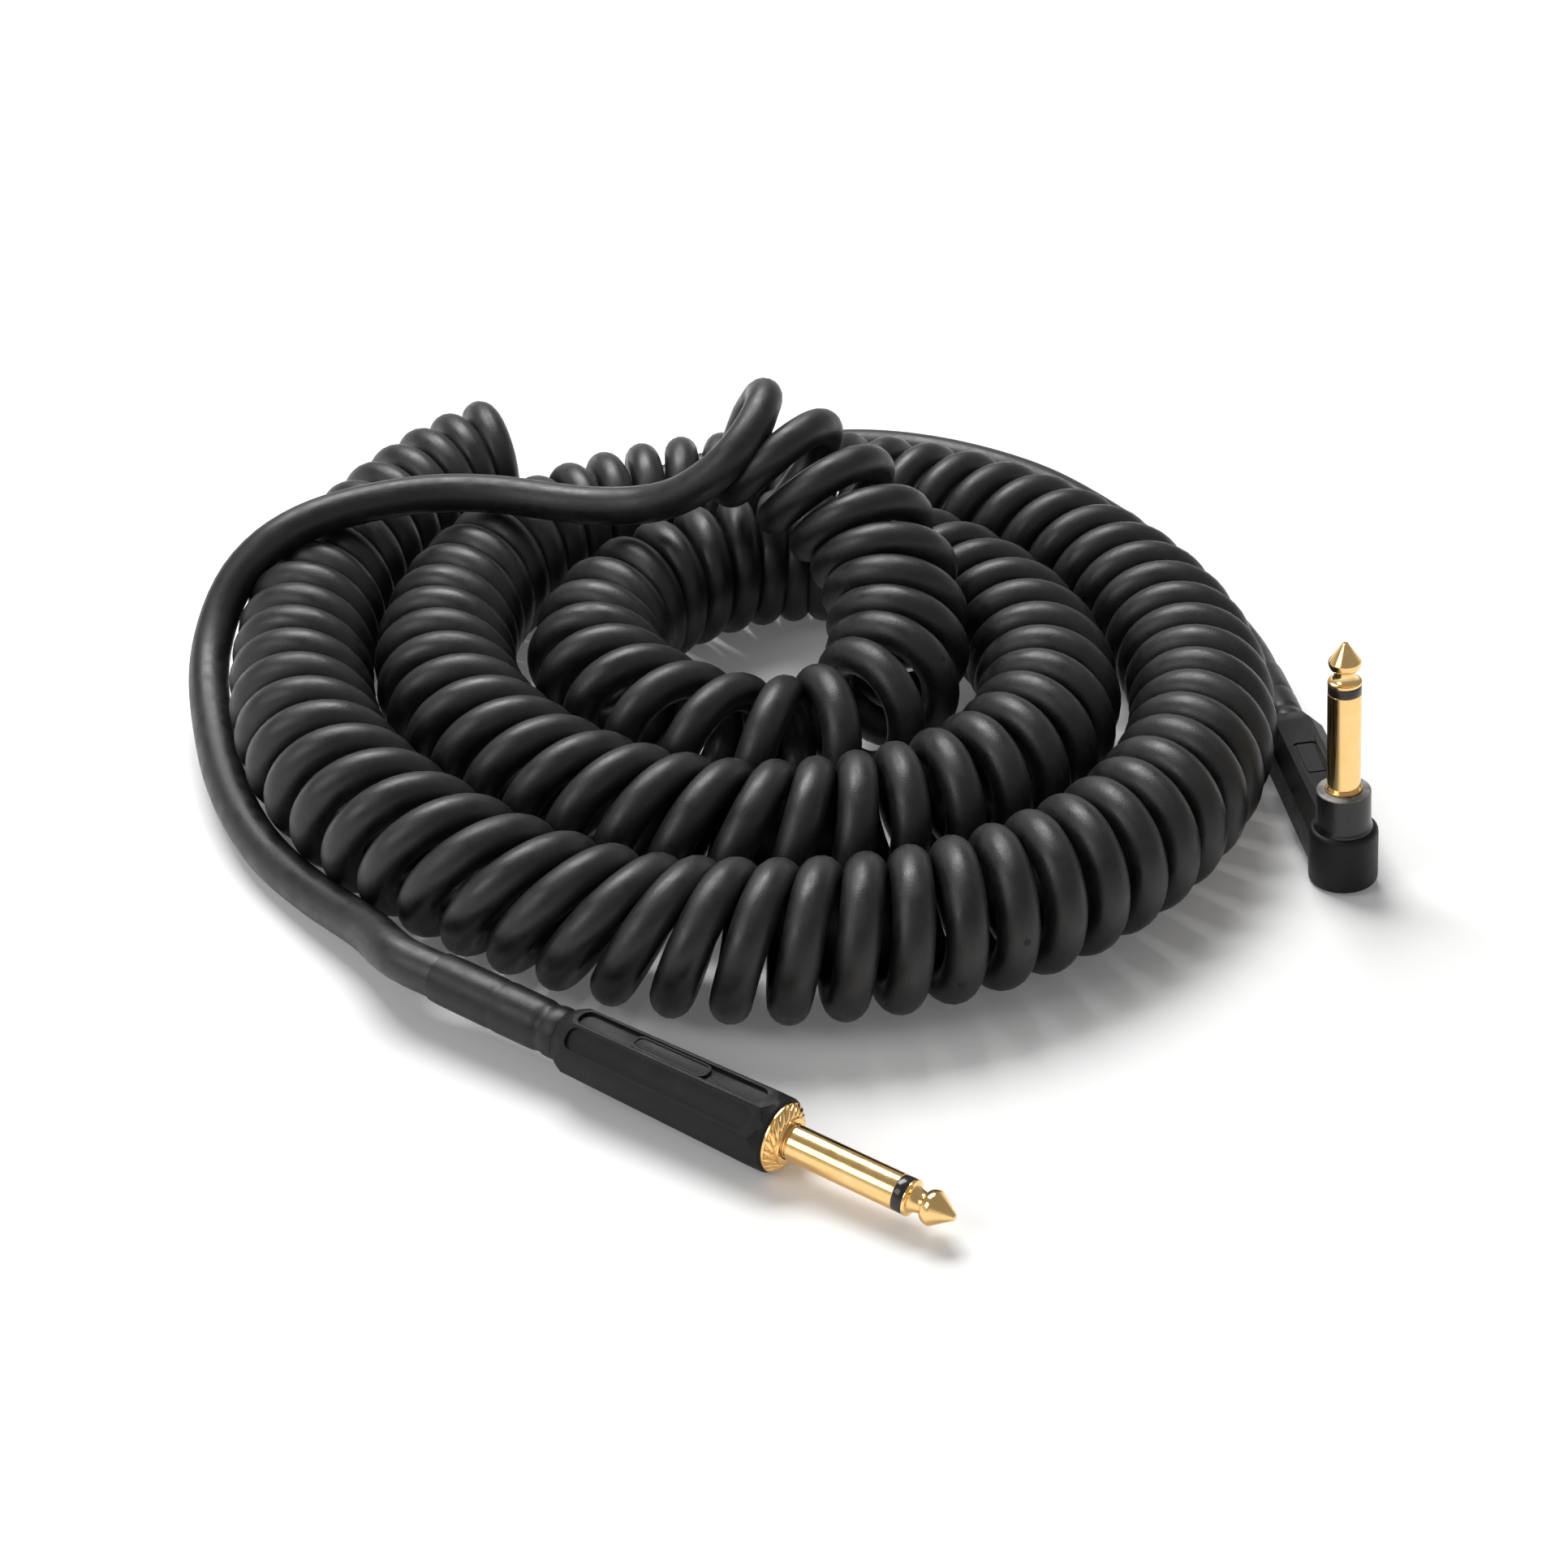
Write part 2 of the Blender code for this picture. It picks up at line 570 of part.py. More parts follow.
# ------------------------------------------------------------------- assembly
def build_straight_plug(gold, plastic, tin, rubber, copper):
    way = Euler((0.0, math.pi / 2 + STRAIGHT_DIP, STRAIGHT_HEADING), "XYZ").to_matrix()
    flip = Matrix.Rotation(math.pi, 3, "Z")
    matrix = Matrix.Translation(STRAIGHT_SEAT) @ (way @ flip).to_4x4()
    seat = add_frame("straight_plug", matrix)
    head = shaft_set("straight", seat, False, GROUND_TAB, gold, plastic, tin)
    knurled_collar("straight_knurled_collar", gold, seat)
    back = straight_handle("straight_handle", rubber, seat)
    shrink_front = back - FIT
    shrink_sleeve("straight_shrink_sleeve", SHRINK_STRAIGHT_L, shrink_front, rubber, seat)
    shrink_back = shrink_front - SHRINK_STRAIGHT_L
    cord_front = -COLLAR_L - CHAMBER_L
    turned("straight_cord_end",
           [(0.0, shrink_back), (CORD_END_D / 2, shrink_back), (CORD_END_D / 2, cord_front),
            (0.0, cord_front)], rubber, seat, bored=False, sides=SMALL_ROUND)
    tab_y = -(TIP_LUG_D / 2 - LUG_T - FIT - CORE_WIRE_D / 2)
    arm_y = GROUND_LUG_D / 2 - LUG_T - FIT - SHIELD_WIRE_D / 2
    rod_piece("straight_core_wire", (0.0, tab_y, head - FIT), (0.0, tab_y, cord_front + FIT),
              CORE_WIRE_D, copper, seat)
    rod_piece("straight_shield_wire", (0.0, arm_y, head - FIT), (0.0, arm_y, cord_front + FIT),
              SHIELD_WIRE_D, copper, seat)
    end = matrix @ Vector((0.0, 0.0, shrink_back - FIT))
    return np.array(end), np.array(matrix.to_3x3() @ Vector((0.0, 0.0, -1.0)))


def build_angle_plug(gold, plastic, tin, rubber, copper, gloss):
    lift = HOUSING_D / 2 * math.sin(ANGLE_LEAN)
    turn = Matrix.Rotation(-ANGLE_LEAN, 4, "Y") @ Matrix.Rotation(ANGLE_HEADING, 4, "Z")
    matrix = Matrix.Translation(ANGLE_FOOT + Vector((0.0, 0.0, lift))) @ turn
    foot = add_frame("angle_plug", matrix)
    seat = add_frame("angle_seat", Matrix.Translation((0.0, 0.0, RISER_TOP)))
    seat.parent = foot
    head = shaft_set("angle", seat, True, GROUND_TAB_ANGLE, gold, plastic, tin) + RISER_TOP

    riser_foot = RISER_TOP - SLEEVE_BACK - RISER_SKIRT
    bore = SHAFT_D / 2 + FIT
    ring_room = FLANGE_D / 2 + FIT
    lug_room = GROUND_LUG_D / 2 + FIT
    lug_top = RISER_TOP - SLEEVE_BACK + GROUND_LUG_SET + LUG_T + FIT
    turned("angle_riser",
           [(lug_room, riser_foot), (RISER_FOOT_D / 2, riser_foot),
            (RISER_FOOT_D / 2, HOUSING_H + 0.6 * MM), (RISER_TOP_D / 2, RISER_TOP - EDGE),
            (RISER_TOP_D / 2 - EDGE / 2, RISER_TOP), (ring_room, RISER_TOP),
            (ring_room, RISER_TOP - FIT), (bore, RISER_TOP - FIT), (bore, lug_top),
            (lug_room, lug_top)], gloss, foot)

    r = HOUSING_D / 2
    housing = turned("angle_housing",
                     [(0.0, 0.0), (r - EDGE, 0.0), (r - 0.15 * MM, 0.2 * MM), (r, EDGE),
                      (r, HOUSING_H - 2 * EDGE), (r - 0.3 * MM, HOUSING_H - 0.4 * MM),
                      (r - EDGE, HOUSING_H), (0.0, HOUSING_H)], rubber, foot, bored=False, sides=40)
    slope = ARM_L - ARM_SLOPE_L
    c = ARM_CHAMFER
    arm_rings = [arm_ring(0.0, ARM_W, ARM_H, c, CORD_AXIS_Z),
                 arm_ring(slope, ARM_W, ARM_H, c, CORD_AXIS_Z),
                 arm_ring(ARM_L - 0.5 * MM, ARM_BACK_D, ARM_BACK_D, ARM_BACK_D * 0.3, CORD_AXIS_Z),
                 arm_ring(ARM_L, ARM_BACK_D - MM, ARM_BACK_D - MM, ARM_BACK_D * 0.28, CORD_AXIS_Z)]
    arm = loft("angle_arm_solid", arm_rings, rubber, foot, bored=False)
    join_to(housing, arm)
    counter = RISER_FOOT_D / 2 + FIT
    well = turned("angle_well",
                  [(0.0, WELL_FLOOR), (CHAMBER_D / 2, WELL_FLOOR),
                   (CHAMBER_D / 2, riser_foot - FIT), (counter, riser_foot - FIT),
                   (counter, HOUSING_H + MM), (0.0, HOUSING_H + MM)],
                  rubber, foot, bored=False)
    cut(housing, well)
    cord_bore = turned("angle_cord_bore",
                       [(0.0, 0.0), (CORD_END_D / 2 + FIT, 0.0),
                        (CORD_END_D / 2 + FIT, ARM_L + MM), (0.0, ARM_L + MM)],
                       rubber, foot, bored=False, sides=SMALL_ROUND)
    cord_bore.location = (0.0, 0.0, CORD_AXIS_Z)
    cord_bore.rotation_euler = (-math.pi / 2, 0.0, 0.0)
    cut(housing, cord_bore)

    outlet = add_frame("angle_outlet", Matrix.Translation((0.0, ARM_L, CORD_AXIS_Z))
                       @ Matrix.Rotation(math.pi / 2, 4, "X"))
    outlet.parent = foot
    shrink_sleeve("angle_shrink_sleeve", SHRINK_ANGLE_L, -FIT, rubber, outlet)
    shrink_back = -FIT - SHRINK_ANGLE_L
    cord_front = ARM_L - CHAMBER_D / 2 - CORD_END_GAP
    turned("angle_cord_end",
           [(0.0, shrink_back), (CORD_END_D / 2, shrink_back), (CORD_END_D / 2, cord_front),
            (0.0, cord_front)], rubber, outlet, bored=False, sides=SMALL_ROUND)
    face_y = CHAMBER_D / 2 + CORD_END_GAP - FIT
    tab_face = -(TIP_LUG_D / 2 - LUG_T - FIT)
    arm_face = GROUND_LUG_D / 2 + FIT
    core_z = head - GROUND_TAB_ANGLE - CORE_WIRE_D / 2 - 3 * FIT
    shield_z = head + SHIELD_WIRE_D / 2
    rod_piece("angle_core_wire", (0.0, face_y, core_z), (0.0, tab_face, core_z),
              CORE_WIRE_D, copper, foot)
    rod_piece("angle_shield_wire", (0.0, face_y, shield_z), (0.0, arm_face, shield_z),
              SHIELD_WIRE_D, copper, foot)
    end = matrix @ Vector((0.0, ARM_L - shrink_back + FIT, CORD_AXIS_Z))
    return np.array(end), np.array(matrix.to_3x3() @ Vector((0.0, 1.0, 0.0)))


def main():
    for obj in list(bpy.data.objects):
        bpy.data.objects.remove(obj)
    jacket = make_material("cord_jacket", (0.012, 0.012, 0.013), 0.45)
    rubber = make_material("moulded_grip", (0.016, 0.016, 0.016), 0.55)
    gloss = make_material("riser_plastic", (0.014, 0.014, 0.014), 0.28)
    gold = make_material("gold_plate", (0.85, 0.58, 0.22), 0.16, 1.0)
    plastic = make_material("insulator", (0.05, 0.04, 0.035), 0.4)
    tin = make_material("tinned_steel", (0.55, 0.55, 0.55), 0.35, 1.0)
    copper = make_material("copper_wire", (0.75, 0.36, 0.22), 0.35, 1.0)

    straight_end, straight_way = build_straight_plug(gold, plastic, tin, rubber, copper)
    angle_end, angle_way = build_angle_plug(gold, plastic, tin, rubber, copper, gloss)

    curls, start_way, end_way = coil_line()
    cord("curly_cord", curls, STRAND_D, COIL_SIDES, jacket, cut_flat=True)
    angle_lead = lead_line(curls[0] + start_way * FIT, start_way, ANGLE_LEAD_ROUTE,
                           angle_end, angle_way)
    cord("angle_lead", angle_lead, LEAD_D, LEAD_SIDES, jacket)
    straight_lead = lead_line(curls[-1] + end_way * FIT, end_way, STRAIGHT_LEAD_ROUTE,
                              straight_end, straight_way)
    cord("straight_lead", straight_lead, LEAD_D, LEAD_SIDES, jacket)

    gap = least_gap(curls, STRAND_D)
    length = sum(reach_along(line)[-1] for line in (curls, angle_lead, straight_lead))
    print(f"least gap between the curls {gap / MM:.2f} mm, cord modelled {length:.3f} m")


main()
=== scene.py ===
# %% [markdown]
# # A curly instrument cable, lying in a flat spiral
# The object is about nine metres of black cord, most of it wound into curls
# like an old telephone cord. One end has a straight 6.35 mm plug and the other
# a right-angle plug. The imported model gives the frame, in metres, and each
# piece below takes the place of one or more of its solids.

import math

import bmesh
import bpy
import numpy as np
from mathutils import Euler, Matrix, Vector


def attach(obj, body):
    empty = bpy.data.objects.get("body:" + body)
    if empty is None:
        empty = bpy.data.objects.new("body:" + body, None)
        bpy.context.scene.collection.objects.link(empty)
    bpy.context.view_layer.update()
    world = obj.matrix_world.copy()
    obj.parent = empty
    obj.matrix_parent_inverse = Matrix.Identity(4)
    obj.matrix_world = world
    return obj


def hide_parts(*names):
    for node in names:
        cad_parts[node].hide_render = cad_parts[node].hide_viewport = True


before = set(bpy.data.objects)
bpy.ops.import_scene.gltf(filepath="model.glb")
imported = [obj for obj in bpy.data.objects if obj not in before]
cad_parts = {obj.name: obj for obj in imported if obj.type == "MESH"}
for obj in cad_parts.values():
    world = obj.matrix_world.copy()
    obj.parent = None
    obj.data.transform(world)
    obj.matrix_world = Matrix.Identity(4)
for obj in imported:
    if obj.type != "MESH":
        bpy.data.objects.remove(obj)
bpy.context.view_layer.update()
MM = 0.001
FIT = 0.3 * MM                      # gap that the solids keep between seated pieces
SEAT_GAP = 0.02 * MM                # gap between the dressed pieces that touch

# %% [markdown]
# ## The camera
# A product camera stands about half a metre in front of the cable and looks
# down by 31 degrees, with a lens long enough to keep the spiral's ellipses
# round. The place comes from the shaft's standard 6.35 mm width and from how
# quickly the curls shrink towards the back of the picture.

# %% Camera
CAMERA_PLACE = (7.5 * MM, -472.0 * MM, 285.72 * MM)
CAMERA_PITCH = math.radians(31.0)
CAMERA_LENS = 61.87                 # mm, as Blender's cameras count it
camera_data = bpy.data.cameras.new("studio_camera")
camera_data.lens = CAMERA_LENS
camera_data.sensor_width = 36.0
camera_data.clip_start = 0.01
camera_data.clip_end = 20.0
camera = bpy.data.objects.new("studio_camera", camera_data)
camera.location = CAMERA_PLACE
camera.rotation_euler = (math.pi / 2 - CAMERA_PITCH, 0.0, 0.0)
bpy.context.scene.collection.objects.link(camera)
bpy.context.scene.camera = camera
bpy.context.scene.view_settings.view_transform = "Standard"
print("camera height", round(CAMERA_PLACE[2] / MM), "mm")

# %% [markdown]
# ## The route of the cord
# Three turns of the spiral run inwards and the last end climbs over them. The
# points of the coil are the solid's, some of them moved by a few millimetres to
# where the photograph has the cord, and most of the leads' points are set anew
# in the same way. Beside each point stands the number of the curl that lies
# there, counted along the cord, so that every curl has its top where the real
# one has it: a spiral drawn with even spacing would drift away from the real
# curls within a few of them. The curls aren't all alike either: those at the
# front of the outer rings slant, and the last one opens out into its lead. A
# short table holds this, and between its rows the curls change evenly.

# %% Route and sizes of the cord
STRAND_D = 7.8 * MM                 # jacket of the curled part
LEAD_D = 8.4 * MM                   # jacket of the two leads
CORD_END_D = 6.8 * MM               # cord inside the sleeves and grips
COIL_D = 30.2 * MM                  # outside of the curls
CURL_LEAN = 10.0                    # degrees that each curl leans along the coil
CURL_SHAPE = [                      # curl number, lean of its side, tilt of its top, in degrees
    (0, CURL_LEAN, 0), (17, CURL_LEAN, -6), (22, CURL_LEAN, -25), (24, CURL_LEAN, -25),
    (25, CURL_LEAN, -17), (26, CURL_LEAN, -8), (28, CURL_LEAN, 0), (31, CURL_LEAN, 5),
    (35, CURL_LEAN, 6), (40, CURL_LEAN, 0), (70, CURL_LEAN, 0), (76, CURL_LEAN, -12),
    (80, CURL_LEAN, -12), (81.5, CURL_LEAN, -4), (83, CURL_LEAN, 5), (87, CURL_LEAN, 3),
    (91, CURL_LEAN, 0), (112, CURL_LEAN, 0), (116, 8, 6), (119, 3, 12), (120.1, 0, 14),
    (120.45, -5, 16), (120.75, -18, 20), (121.05, -25, 22),
]
COIL_ROUTE = [
    (-60.0, 128.5, 2.2), (-69.5, 120.3, 1.2), (-79.5, 105.0, 0.3), (-92.5, 65.5, 0.0),
    (-93.5, 25.5, 0.0), (-82.8, -14.6, 0.0), (-56.3, -48.8, 0.0), (-22.5, -70.5, 0.0),
    (13.0, -75.5, 0.0), (47.5, -64.0, 0.0), (75.0, -39.0, 0.0), (91.0, -4.0, 0.0),
    (91.7, 35.5, 0.0), (76.7, 73.2, 0.0), (48.0, 101.4, 0.0), (11.0, 112.5, 0.0),
    (-25.0, 104.5, 0.0), (-52.1, 79.5, 0.0), (-64.0, 43.2, 0.0), (-57.4, 4.1, 0.0),
    (-32.9, -27.0, 0.0), (2.0, -41.0, 0.0), (39.0, -29.0, 0.0), (60.8, 5.2, 0.0),
    (55.5, 46.8, 0.0), (29.5, 75.8, 0.0), (-3.0, 75.4, 0.0), (-29.3, 46.0, 0.0),
    (-31.3, 25.8, 0.0), (-22.3, 7.2, 0.0), (-4.5, -6.5, 0.0), (15.2, -6.3, 0.6),
    (27.0, 7.6, 2.8), (31.2, 25.3, 7.2), (28.8, 43.2, 15.2), (17.2, 57.8, 25.2),
    (-4.5, 68.2, 35.2),
]
CURL_AT = [0.5, 2, 4, *range(8, 105, 4), 106, 108, 110, 111.8, 113.2, 115, 117, 119, 121.05]
STRAIGHT_LEAD_ROUTE = [
    (1.0, 58.3, 55.6), (-3.5, 53.7, 50.9), (-11.4, 53.6, 43.9), (-22.5, 59.2, 37.2),
    (-36.0, 63.0, 35.2), (-53.5, 68.5, 35.0), (-70.6, 69.2, 35.0), (-84.5, 64.5, 34.7),
    (-95.5, 58.8, 33.4), (-105.0, 53.6, 29.2), (-111.0, 49.0, 23.4), (-114.0, 42.0, 17.6),
    (-114.6, 33.0, 13.2), (-113.0, 22.0, 10.2), (-109.9, 9.5, 8.2), (-105.2, -5.5, 6.8),
    (-98.6, -20.8, 5.8), (-92.0, -32.2, 5.3), (-85.0, -41.6, 5.4), (-76.2, -52.4, 6.4),
    (-67.8, -63.4, 8.3),
]
ANGLE_LEAD_ROUTE = [
    (-46.2, 118.5, 5.2), (-36.4, 118.9, 5.5), (-26.5, 124.0, 9.7), (-10.5, 130.4, 13.5),
    (6.5, 132.5, 16.5), (21.5, 132.0, 18.5), (35.5, 128.5, 19.5), (47.5, 123.5, 19.7),
    (58.5, 117.5, 19.3), (69.5, 110.6, 18.0), (79.3, 101.8, 16.0), (88.3, 91.3, 13.8),
    (95.7, 80.0, 11.3), (101.5, 67.5, 9.4), (106.1, 56.5, 8.0),
]
print("route points", len(COIL_ROUTE), "curls", CURL_AT[-1] - CURL_AT[0])

# %% [markdown]
# ## Where the plugs lie
# Each plug is modelled round the origin, which keeps the numbers simple, and
# is moved to its own frame when it is finished. The straight plug lies on the
# floor with its tip dipped a little, 0.9 mm in front of its solids. The
# right-angle plug stands on its round housing, leaning towards the coil.

# %% Frames of the two plugs
STRAIGHT_SEAT = Vector((8.8, -121.8, 6.6)) * MM
STRAIGHT_HEADING = math.radians(-34.2)
STRAIGHT_DIP = math.radians(2.5)
ANGLE_FOOT = Vector((116.1, -32.3, 0.0)) * MM
ANGLE_LEAN = math.radians(5.6)
ANGLE_HEADING = math.radians(4.3)
HOUSING_D = 13.3 * MM
RISER_TOP = 20.0 * MM
ARM_L = 46.0 * MM
CORD_AXIS_Z = 6.4 * MM

straight_way = Euler((0.0, math.pi / 2 + STRAIGHT_DIP, STRAIGHT_HEADING), "XYZ").to_matrix()
straight_frame = (Matrix.Translation(STRAIGHT_SEAT)
                  @ (straight_way @ Matrix.Rotation(math.pi, 3, "Z")).to_4x4())
angle_lift = HOUSING_D / 2 * math.sin(ANGLE_LEAN)
angle_frame = (Matrix.Translation(ANGLE_FOOT + Vector((0.0, 0.0, angle_lift)))
               @ Matrix.Rotation(-ANGLE_LEAN, 4, "Y") @ Matrix.Rotation(ANGLE_HEADING, 4, "Z"))
angle_seat_frame = angle_frame @ Matrix.Translation((0.0, 0.0, RISER_TOP))
outlet_frame = (angle_frame @ Matrix.Translation((0.0, ARM_L, CORD_AXIS_Z))
                @ Matrix.Rotation(math.pi / 2, 4, "X"))
print("straight tip looks to", [round(x, 2) for x in straight_frame.to_3x3().col[2]])

# %% [markdown]
# ## The line down the middle of the cord
# A smooth spline gives the middle of the coil for any curl number, and the
# strand circles round it: its top is at each whole number. The strand leans a
# little because each curl moves forward as it goes round.

# %% Spline and curl functions
POINTS_PER_CURL = 40


def spline(knots, points, wanted):
    """Natural cubic spline: values and slopes at the wanted parameters."""
    knots = np.asarray(knots, float)
    points = np.asarray(points, float)
    wanted = np.asarray(wanted, float)
    step = np.diff(knots)
    rise = np.diff(points, axis=0) / step[:, None]
    count = len(knots)
    system = np.eye(count)
    right = np.zeros_like(points)
    for i in range(1, count - 1):
        system[i, i - 1:i + 2] = step[i - 1], 2 * (step[i - 1] + step[i]), step[i]
        right[i] = 6 * (rise[i] - rise[i - 1])
    bend = np.linalg.solve(system, right)
    span = np.clip(np.searchsorted(knots, wanted) - 1, 0, count - 2)
    h = step[span][:, None]
    s = (wanted - knots[span])[:, None]
    low, high = bend[span], bend[span + 1]
    slope = rise[span] - h * (2 * low + high) / 6
    values = points[span] + s * (slope + s * (low / 2 + s * (high - low) / (6 * h)))
    slopes = slope + s * (low + s * (high - low) / (2 * h))
    return values, slopes


def unit(rows):
    return rows / np.linalg.norm(rows, axis=-1, keepdims=True)


def reach_along(points):
    """Distance along a row of points, from the first one."""
    steps = np.linalg.norm(np.diff(points, axis=0), axis=1)
    return np.concatenate([[0.0], np.cumsum(steps)])


def strand_at(numbers):
    """Middle of the curled strand at these curl numbers."""
    route = np.array(COIL_ROUTE) * MM
    route[:, 2] += COIL_D / 2
    centre, along = spline(CURL_AT, route, numbers)
    along = unit(along)
    out = unit(np.cross(along, (0.0, 0.0, 1.0)))
    above = np.cross(out, along)
    number, lean, tilt = np.array(CURL_SHAPE).T
    lean = np.radians(np.interp(numbers, number, lean))[:, None]
    tilt = np.radians(np.interp(numbers, number, tilt))[:, None]
    sideways = out * np.cos(lean) - along * np.sin(lean)
    upwards = above * np.cos(tilt) - along * np.sin(tilt)
    turn = 2 * math.pi * (numbers[:, None] + 0.25)
    radius = (COIL_D - STRAND_D) / 2
    return centre + radius * (sideways * np.cos(turn) + upwards * np.sin(turn))


curl_numbers = np.arange(CURL_AT[0], CURL_AT[-1], 1 / POINTS_PER_CURL)
strand = strand_at(curl_numbers)
print("curled strand", round(reach_along(strand)[-1], 3), "m")

# %% [markdown]
# ## The leads and the whole line
# The two leads carry straight on from the last curls, so the cord is one
# unbroken line from inside one plug to inside the other. A few points of the
# last curl steer the start of each lead, which keeps the join smooth without a
# separate bend to fit.

# %% The whole line of the cord
COLLAR_L = 2.2 * MM
HANDLE_L = 45.0 * MM
CHAMBER_L = 24.0 * MM               # hollow of the straight grip, in front of its cord
SHRINK_STRAIGHT_L = 28.0 * MM
SHRINK_ANGLE_L = 23.5 * MM
ANGLE_CORD_REACH = 39.5 * MM        # cord inside the right-angle plug's arm
TAIL_POINTS = 4                     # points of the curls that steer a lead
TAIL_STEP = 5                       # points of the strand from one of them to the next
LEAD_STEP = 3.0 * MM


def lead_after(strand, route, plug, back, end):
    """Smooth lead from the last points of a strand into a plug.

    The plug's axis is its frame's Z. The cord enters its sleeve at back and
    stops at end.
    """
    heights = (back - LEAD_D, back, (back + end) / 2, end)
    inside = np.array([plug @ Vector((0.0, 0.0, z)) for z in heights])
    tail = strand[-1 - (TAIL_POINTS - 1) * TAIL_STEP::TAIL_STEP]
    knots = np.vstack([tail, np.array(route) * MM, inside])
    reach = reach_along(knots)
    start = reach[TAIL_POINTS - 1] + LEAD_STEP
    wanted = np.append(np.arange(start, reach[-1], LEAD_STEP), reach[-1])
    values, _ = spline(reach, knots, wanted)
    return values


straight_sleeve_back = -COLLAR_L - FIT - HANDLE_L - FIT - SHRINK_STRAIGHT_L
straight_lead = lead_after(strand, STRAIGHT_LEAD_ROUTE, straight_frame,
                           straight_sleeve_back, -COLLAR_L - CHAMBER_L)
angle_lead = lead_after(strand[::-1], ANGLE_LEAD_ROUTE, outlet_frame,
                        -FIT - SHRINK_ANGLE_L, ANGLE_CORD_REACH)
cord_line = np.vstack([angle_lead[::-1], strand, straight_lead])

# %% [markdown]
# ## A tube with real-size texture coordinates
# A curve with a bevel would give the tube at once, but its texture runs from 0
# to 1 over the whole cord. Here each ring of points is carried along the line
# without twisting, and the map holds metres along and round the jacket, so that
# the fine drawing marks of the rubber can follow it. The jacket is a little
# thicker on the leads than on the curls, and thinner inside the plugs.

# %% Cord mesh
CORD_SIDES = 18
TAPER = 9.0 * MM                    # length over which the jacket changes
STRIP_TAPER = 2.0 * MM              # length over which it narrows inside a sleeve
SLEEVE_MOUTH = 3.0 * MM             # stretch of full jacket inside a sleeve's open end
ANGLE_HIDDEN = ANGLE_CORD_REACH + SHRINK_ANGLE_L - SLEEVE_MOUTH
STRAIGHT_HIDDEN = HANDLE_L + SHRINK_STRAIGHT_L - CHAMBER_L - SLEEVE_MOUTH


def cord_radii(line, first, last):
    """Radius at each point: curls between first and last, thicker leads outside them."""
    reach = reach_along(line)
    outside = np.maximum(reach[first] - reach, reach - reach[last])
    share = np.clip(outside / TAPER, 0.0, 1.0)
    share = share * share * (3 - 2 * share)
    radii = (STRAND_D + (LEAD_D - STRAND_D) * share) / 2
    for end, hidden in ((reach, ANGLE_HIDDEN), (reach[-1] - reach, STRAIGHT_HIDDEN)):
        inside = np.clip((hidden - end) / STRIP_TAPER, 0.0, 1.0)
        radii += (CORD_END_D - LEAD_D) / 2 * inside
    return radii


def tube(name, line, radii, sides):
    """A closed tube with a map of metres along and round it."""
    along = unit(np.gradient(line, axis=0))
    across = np.empty_like(line)
    across[0] = unit(np.cross(along[0], (0.0, 0.0, 1.0)))
    for i in range(1, len(line)):
        carried = across[i - 1] - along[i] * np.dot(across[i - 1], along[i])
        across[i] = carried / np.linalg.norm(carried)
    third = np.cross(along, across)
    turn = 2 * math.pi * np.arange(sides) / sides
    ring = (across[:, None] * np.cos(turn)[None, :, None]
            + third[:, None] * np.sin(turn)[None, :, None])
    points = (line[:, None] + ring * radii[:, None, None]).reshape(-1, 3)
    reach = reach_along(line)
    girth = math.pi * STRAND_D
    faces, places = [], []
    for i in range(len(line) - 1):
        for k in range(sides):
            j = (k + 1) % sides
            a, b = i * sides, (i + 1) * sides
            faces.append((a + k, a + j, b + j, b + k))
            low, high = k / sides * girth, (k + 1) / sides * girth
            places += [(reach[i], low), (reach[i], high),
                       (reach[i + 1], high), (reach[i + 1], low)]
    faces.append(tuple(range(sides))[::-1])
    faces.append(tuple(range((len(line) - 1) * sides, len(line) * sides)))
    places += [(0.0, 0.0)] * (2 * sides)
    mesh = bpy.data.meshes.new(name)
    mesh.from_pydata(points.tolist(), [], faces)
    layer = mesh.uv_layers.new(name="cord_map")
    layer.data.foreach_set("uv", np.array(places).ravel())
    mesh.shade_smooth()
    obj = bpy.data.objects.new(name, mesh)
    bpy.context.scene.collection.objects.link(obj)
    return obj


first_curl = len(angle_lead)
last_curl = first_curl + len(strand) - 1
cord = tube("cable_cord", cord_line, cord_radii(cord_line, first_curl, last_curl), CORD_SIDES)
print("cord faces", len(cord.data.polygons))

# %% [markdown]
# ## Working as by hand
# The plugs are modelled with Blender's own operators. An operator acts on all
# that is selected, so each step first makes one piece the only one selected,
# and faces and edges are picked in code by where they are.

# %% Helpers for modelling
def only(obj):
    """Make this the one selected and active object."""
    bpy.ops.object.select_all(action="DESELECT")
    obj.select_set(True)
    bpy.context.view_layer.objects.active = obj


def apply_place():
    """Move the selected objects' places into their meshes."""
    bpy.ops.object.transform_apply(location=True, rotation=True, scale=True)


def named(name):
    """Name the new active object and its mesh, with its scale and turn applied."""
    obj = bpy.context.active_object
    obj.name = obj.data.name = name
    apply_place()
    return obj


def settle(obj, matrix):
    """Move a piece by this matrix, and keep its object at the origin."""
    only(obj)
    obj.matrix_world = matrix
    apply_place()


def pick(kind, test):
    """In edit mode, select the edges or the faces that pass the test."""
    mesh = bpy.context.active_object.data
    bpy.ops.mesh.select_mode(type=kind)
    bpy.ops.mesh.select_all(action="DESELECT")
    bm = bmesh.from_edit_mesh(mesh)
    for element in bm.edges if kind == "EDGE" else bm.faces:
        if test(element):
            element.select_set(True)
    bmesh.update_edit_mesh(mesh)


